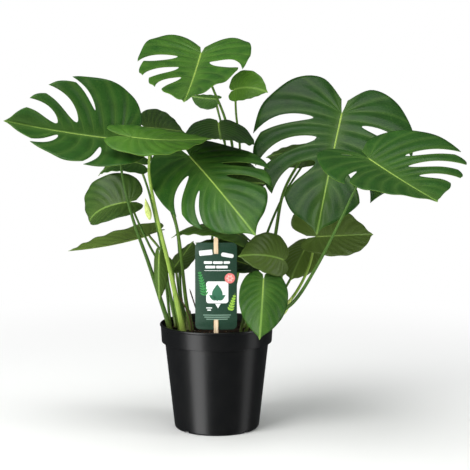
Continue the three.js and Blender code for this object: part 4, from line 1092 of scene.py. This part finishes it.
levels = [(wall_inside(floor_top) - GAP, floor_top + GAP), (wall_inside(SKIRT_Z) - GAP, SKIRT_Z + 3),
          (SKIRT_BOTTOM_R - WALL - GAP, SKIRT_Z + 5)]
rings = [circle(r, z, SEGMENTS) for r, z in levels]
for j in range(RINGS, 0, -1):
    rings.append([(x, y, soil_height(x, y)) for x, y, _ in circle(SOIL_R * j / RINGS, 0, SEGMENTS)])
ground = stacked("potting_soil", (0, 0, floor_top + GAP), rings, (0, 0, soil_height(0, 0)), [PEAT])
set_attribute(ground, "chip", [0.0] * len(ground.data.vertices))
stands_for(ground, "soil", "soil")
print("soil", round(2 * SOIL_R), "mm across,", len(ground.data.vertices), "points")

# %% Crumbs and chips
rng = np.random.default_rng(11)
lump = bmesh.new()
bmesh.ops.create_icosphere(lump, subdivisions=1, radius=1)
LUMP = np.array([v.co for v in lump.verts])
LUMP_FACES = [tuple(v.index for v in f.verts) for f in lump.faces]
points, faces, chip = [], [], []
for _ in range(CRUMBS):
    r, w = (SOIL_R - CRUMB_INSET) * sqrt(rng.random()), 2 * pi * rng.random()
    size = LEAST_CRUMB + CRUMB_RANGE * rng.random() ** 3
    stretch = np.array((1.0, rng.uniform(0.35, 0.9), rng.uniform(0.3, 0.6))) * size
    turn, tip = rng.uniform(0, 2 * pi), rng.uniform(-0.5, 0.5)
    shape = LUMP * stretch * rng.uniform(0.75, 1.2, (len(LUMP), 1))
    along, z = turned_by(shape[:, 0], shape[:, 2], tip)
    x, y = turned_by(along, shape[:, 1], turn)
    cx, cy = turned_by(r, 0, w)
    faces += [tuple(i + len(points) for i in f) for f in LUMP_FACES]
    points += list(zip(cx + x, cy + y, soil_height(cx, cy) + 0.2 * size + z))
    chip += [PALE if rng.random() < PALE_SHARE else rng.uniform(DARKEST, LIGHTEST)] * len(LUMP)
crumbs = new_object("bark_and_peat_crumbs", points, faces, [PEAT], smooth=False)
set_attribute(crumbs, "chip", chip)
stands_for(crumbs, "soil", "soil")
print(CRUMBS, "crumbs")

# %% [markdown]
# ## The plant tag
# A tag is a printed plastic card held by a flat wooden stick that is woven through two slots. The
# card bows between them. Its print is laid on as thin flat shapes, cut into small squares so that
# they follow the bow: plain labels, bars, a flower, two fern fronds and a panel with a leaf. Bars
# stand in for words, so the tag says nothing.

# %% The card's curved surface
CARD_W, CARD_T, CARD_CORNER, CARD_BOW = 66, 0.8, 7, 3.5    # the bow is how far its sides curve back
CARD_WEAVE, SLOT_FROM_END = 14, 11.5                       # how the card passes the stick
STICK_W, STICK_T = 7, 1.8
CARD_Z0, CARD_Z1 = span("tag_card", 2)
STICK_Y = sum(span("tag_stick", 1)) / 2
CELL = 2.5                       # the flat shapes are cut into cells of this size
INK_MM = 0.08                    # thickness of the print


def card_y(x, z):
    """Depth of the middle of the card: it passes the stick at both slots and bows back at its sides."""
    clear = (STICK_T + CARD_T) / 2 + GAP + 0.3
    from_slot = min(z - (CARD_Z0 + SLOT_FROM_END), CARD_Z1 - SLOT_FROM_END - z)
    t = min(1, max(0, 0.5 + from_slot / CARD_WEAVE))
    return STICK_Y + clear - 2 * clear * t * t * (3 - 2 * t) + CARD_BOW * (2 * x / CARD_W) ** 2


def on_card(name, outlines, material, lift=0.0, thickness=CARD_T, holes=()):
    """Flat outlines of (x, z), cut into cells, laid on the card and thickened."""
    flat = bmesh.new()
    for outline in outlines:
        flat.faces.new([flat.verts.new((x, 0, z)) for x, z in outline])
    low_x, high_x = min(v.co.x for v in flat.verts), max(v.co.x for v in flat.verts)
    low_z, high_z = min(v.co.z for v in flat.verts), max(v.co.z for v in flat.verts)
    lines = [((x, 0, 0), (1, 0, 0)) for x in np.arange(low_x + CELL / 2, high_x, CELL)]
    lines += [((0, 0, z), (0, 0, 1)) for z in np.arange(low_z + CELL / 2, high_z, CELL)]
    for x0, x1, z0, z1 in holes:
        lines += [((x, 0, 0), (1, 0, 0)) for x in (x0, x1)] + [((0, 0, z), (0, 0, 1)) for z in (z0, z1)]
    for place, across in lines:
        geometry = [*flat.verts, *flat.edges, *flat.faces]
        bmesh.ops.bisect_plane(flat, geom=geometry, plane_co=place, plane_no=across, dist=1e-5)
    for x0, x1, z0, z1 in holes:
        middles = [(f, f.calc_center_median()) for f in flat.faces]
        inside = [f for f, c in middles if x0 < c.x < x1 and z0 < c.z < z1]
        bmesh.ops.delete(flat, geom=inside, context="FACES")
    bmesh.ops.recalc_face_normals(flat, faces=flat.faces)
    mesh = bpy.data.meshes.new(name)
    for v in flat.verts:
        v.co = Vector((v.co.x, card_y(v.co.x, v.co.z) - lift, v.co.z)) * MM
    flat.to_mesh(mesh)
    mesh.materials.append(material)
    piece = bpy.data.objects.new(name, mesh)
    bpy.context.collection.objects.link(piece)
    thicken(piece, thickness)
    stands_for(piece, "card", "tag_card")


ends = [round(card_y(0, z) - STICK_Y, 1) for z in (CARD_Z0, (CARD_Z0 + CARD_Z1) / 2, CARD_Z1)]
print("the card lies", ends, "mm behind the stick at its bottom, middle and top")

# %% Shapes that the print is made of
def rounded_bar(x, z, width, tall, corner, tilt_deg=0):
    """A rectangle with round corners, about its middle."""
    turn, outline = radians(tilt_deg), []
    for cx, cz, start in ((1, 1, 0), (-1, 1, 90), (-1, -1, 180), (1, -1, 270)):
        for k in range(5):
            w = radians(start + 22.5 * k)
            px = cx * (width / 2 - corner) + corner * cos(w)
            pz = cz * (tall / 2 - corner) + corner * sin(w)
            outline.append(np.add((x, z), turned_by(px, pz, turn)))
    return outline


def disc(x, z, r):
    """A round spot."""
    return [(x + px, z + pz) for px, pz, _ in circle(r, 0, 24)]


def leaflet(x, z, length, width, angle_deg):
    """A pointed oval that starts at a point."""
    turn, outline = radians(angle_deg), []
    for side in (1, -1):
        for t in np.linspace(0, 1, 8)[:-1] if side > 0 else np.linspace(1, 0, 8)[:-1]:
            a, b = length * t, side * width / 2 * sin(pi * t ** 0.8)
            outline.append(np.add((x, z), turned_by(a, b, turn)))
    return outline


def frond(low, high, pairs, length, width):
    """A fern frond: leaflets in pairs along a straight rib, shorter towards its tip."""
    rise = np.degrees(np.arctan2(high[1] - low[1], high[0] - low[0]))
    parts = []
    for k in range(pairs):
        t = k / pairs
        x, z = (low[i] + (high[i] - low[i]) * t for i in (0, 1))
        size = length * (1 - 0.65 * t)
        parts += [leaflet(x, z, size, width, rise + 52), leaflet(x, z, size, width, rise - 52)]
    parts.append(leaflet(*low, np.hypot(high[0] - low[0], high[1] - low[1]) + 2, width * 0.7, rise))
    return parts


print("a bar has", len(rounded_bar(0, 0, 4, 2, 0.5)), "points, a leaflet", len(leaflet(0, 0, 4, 2, 0)))

# %% [markdown]
# The card and its inks are satin plastic with hardly any texture. The stick is bare planed birch
# with grain along it.

# %% Card, print and stick materials
def printed_material(name, hex_colour):
    """Ink on satin plastic: a flat colour with the faintest unevenness of print."""
    material, tree, place = new_material(name)
    mottle = node(tree, "TexNoise", {"Vector": place, "Scale": 1 / (2 * MM), "Detail": 2.0})
    part = node(tree, "MapRange", {"Value": mottle, "To Max": 0.03})
    colour = node(tree, "Mix", {0: part, 6: shade(hex_colour), 7: shade("#FFFFFF")},
                  data_type="RGBA").outputs[2]
    bumped = node(tree, "Bump", {"Height": mottle, "Strength": 0.05, "Distance": 0.1 * MM})
    surface = node(tree, "BsdfPrincipled", {"Base Color": colour, "Roughness": 0.42, "Normal": bumped,
                   "Specular IOR Level": 0.35})
    node(tree, "OutputMaterial", {"Surface": surface})
    return material


def wood_material():
    """Pale birch: fine brown grain along the stick, planed and left bare."""
    material, tree, place = new_material("planed_birch")
    drawn = node(tree, "Mapping", {"Vector": place, "Scale": (1 / (0.9 * MM), 1 / (0.9 * MM), 1 / (40 * MM))})
    grain = node(tree, "TexNoise", {"Vector": drawn, "Scale": 1.0, "Detail": 5.0})
    base = node(tree, "ValToRGB", {"Fac": grain})
    colour_stops(base.color_ramp, [(0.3, "#C9A77E"), (0.5, "#E6CDA8"), (0.8, "#F3E2C6")])
    bumped = node(tree, "Bump", {"Height": grain, "Strength": 0.3, "Distance": 0.2 * MM})
    surface = node(tree, "BsdfPrincipled", {"Base Color": base, "Roughness": 0.62, "Normal": bumped})
    node(tree, "OutputMaterial", {"Surface": surface})
    return material


GREEN_CARD, BIRCH = printed_material("bottle_green_card", "#0C3A25"), wood_material()
print("tag materials", GREEN_CARD.name, BIRCH.name)

# %% Make the tag
SLOT_HALF_W, SLOT_HALF_H = STICK_W / 2 + 2 * GAP, CARD_WEAVE / 2 - 1
slots = [(-SLOT_HALF_W, SLOT_HALF_W, z - SLOT_HALF_H, z + SLOT_HALF_H)
         for z in (CARD_Z0 + SLOT_FROM_END, CARD_Z1 - SLOT_FROM_END)]
m = (CARD_Z0 + CARD_Z1) / 2      # the print is placed from the card's middle
outline = rounded_bar(0, m, CARD_W, CARD_Z1 - CARD_Z0, CARD_CORNER)
on_card("tag_board", [outline], GREEN_CARD, holes=slots)

# Bars and labels: their middle across and up, width, height, corner and tilt.
WHITE_BARS = [
    (-16, 54, 21, 8, 1.2, 6), (18, 50, 20, 6.4, 3, -11), (-12.5, 38.5, 13, 4.2, 1.2), (3, 38.5, 15, 4.2, 1.2),
    (17, 38.5, 10, 4.2, 1.2), (-9, 31.4, 16, 4.2, 1.2), (9.5, 31.4, 18, 4.2, 1.2), (2.4, 25.7, 42, 0.7, 0.3),
    (2, -9, 35, 35, 4), (-11, -34, 9.5, 1.7, 0.7), (-11, -37.4, 6, 1.7, 0.7),
]
white = [rounded_bar(x, m + z, *rest) for x, z, *rest in WHITE_BARS]
white.append([(-1.5, m - 27.2), (3.1, m - 34.4), (7.5, m - 27.2)])
grey = [rounded_bar(1.5, m - z, w, 1.3, 0.5) for z, w in ((45.5, 44), (48.8, 40), (52.1, 34))]
FLOWER_X, FLOWER_Z = 21.9, m + 13.3
petals = [leaflet(FLOWER_X + 1.6 * cos(radians(a)), FLOWER_Z + 1.6 * sin(radians(a)), 4.4, 3, a)
          for a in range(0, 360, 60)]
PRINT = [                        # each patch: its ink, colour, how far it stands out, and its outlines
    ("white", "white_ink", "#EFF3F0", 0.06, white),
    ("grey", "sage_ink", "#7F9F8C", 0.06, grey),
    ("coral", "coral_ink", "#F0827E", 0.16, [disc(FLOWER_X, FLOWER_Z, 8.2)]),
    ("petals", "blush_ink", "#FAC3BA", 0.26, petals),
    ("fern", "fern_green_ink", "#2E8B3D", 0.16, frond((-17.5, m - 14), (-26.5, m + 25), 9, 9, 2.6)),
    ("sprig", "lime_ink", "#9ACB45", 0.16, frond((22.5, m - 38), (30, m - 12), 6, 7, 3.2)),
    ("emblem", "pine_green_ink", "#2B6A4C", 0.18,
     [leaflet(2, m - 23, 27, 17, 90), leaflet(2, m - 21, 15, 8, 150), leaflet(2, m - 21, 15, 8, 30)]),
]
for part, ink, colour, lift, outlines in PRINT:
    on_card("tag_print_" + part, outlines, printed_material(ink, colour), CARD_T / 2 + lift, INK_MM)
print("tag", CARD_W, "by", round(CARD_Z1 - CARD_Z0), "mm with", len(PRINT), "patches of print")

# %% The stick
w = STICK_W / 2
low, high = span("tag_stick", 2)
outline = [(-w * 0.3, low), (w * 0.3, low), (w, low + 3 * w), (w, high - w)]
outline += [(w * cos(radians(a)), high - w + w * sin(radians(a))) for a in range(15, 166, 15)]
outline += [(-w, high - w), (-w, low + 3 * w)]
n = len(outline)
points = [(x, STICK_Y + half, z) for half in (-STICK_T / 2, STICK_T / 2) for x, z in outline]
faces = [tuple(range(n)), tuple(range(2 * n - 1, n - 1, -1))]
faces += [(k, k + n, (k + 1) % n + n, (k + 1) % n) for k in range(n)]
stick = new_object("birch_stick", points, faces, [BIRCH], smooth=False)
edge = stick.modifiers.new("sanded_edges", "BEVEL")
edge.width = 0.35 * MM
edge.segments = 3
bake_modifiers(stick)
stands_for(stick, "stick", "tag_stick")
print("stick", round(high - low), "mm long")

# %% [markdown]
# ## Sizes
# The dressed plant must fill the same box as the frame, so both boxes are printed.

# %% Sizes and finish
LOOKS_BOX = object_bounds()
boxes = {"cad": [[float(v) for v in c] for c in CAD_BOX], "looks": [[float(v) for v in c] for c in LOOKS_BOX]}
for name, box in boxes.items():
    print(name, [round((b - a) / MM) for a, b in zip(*box)], "mm")
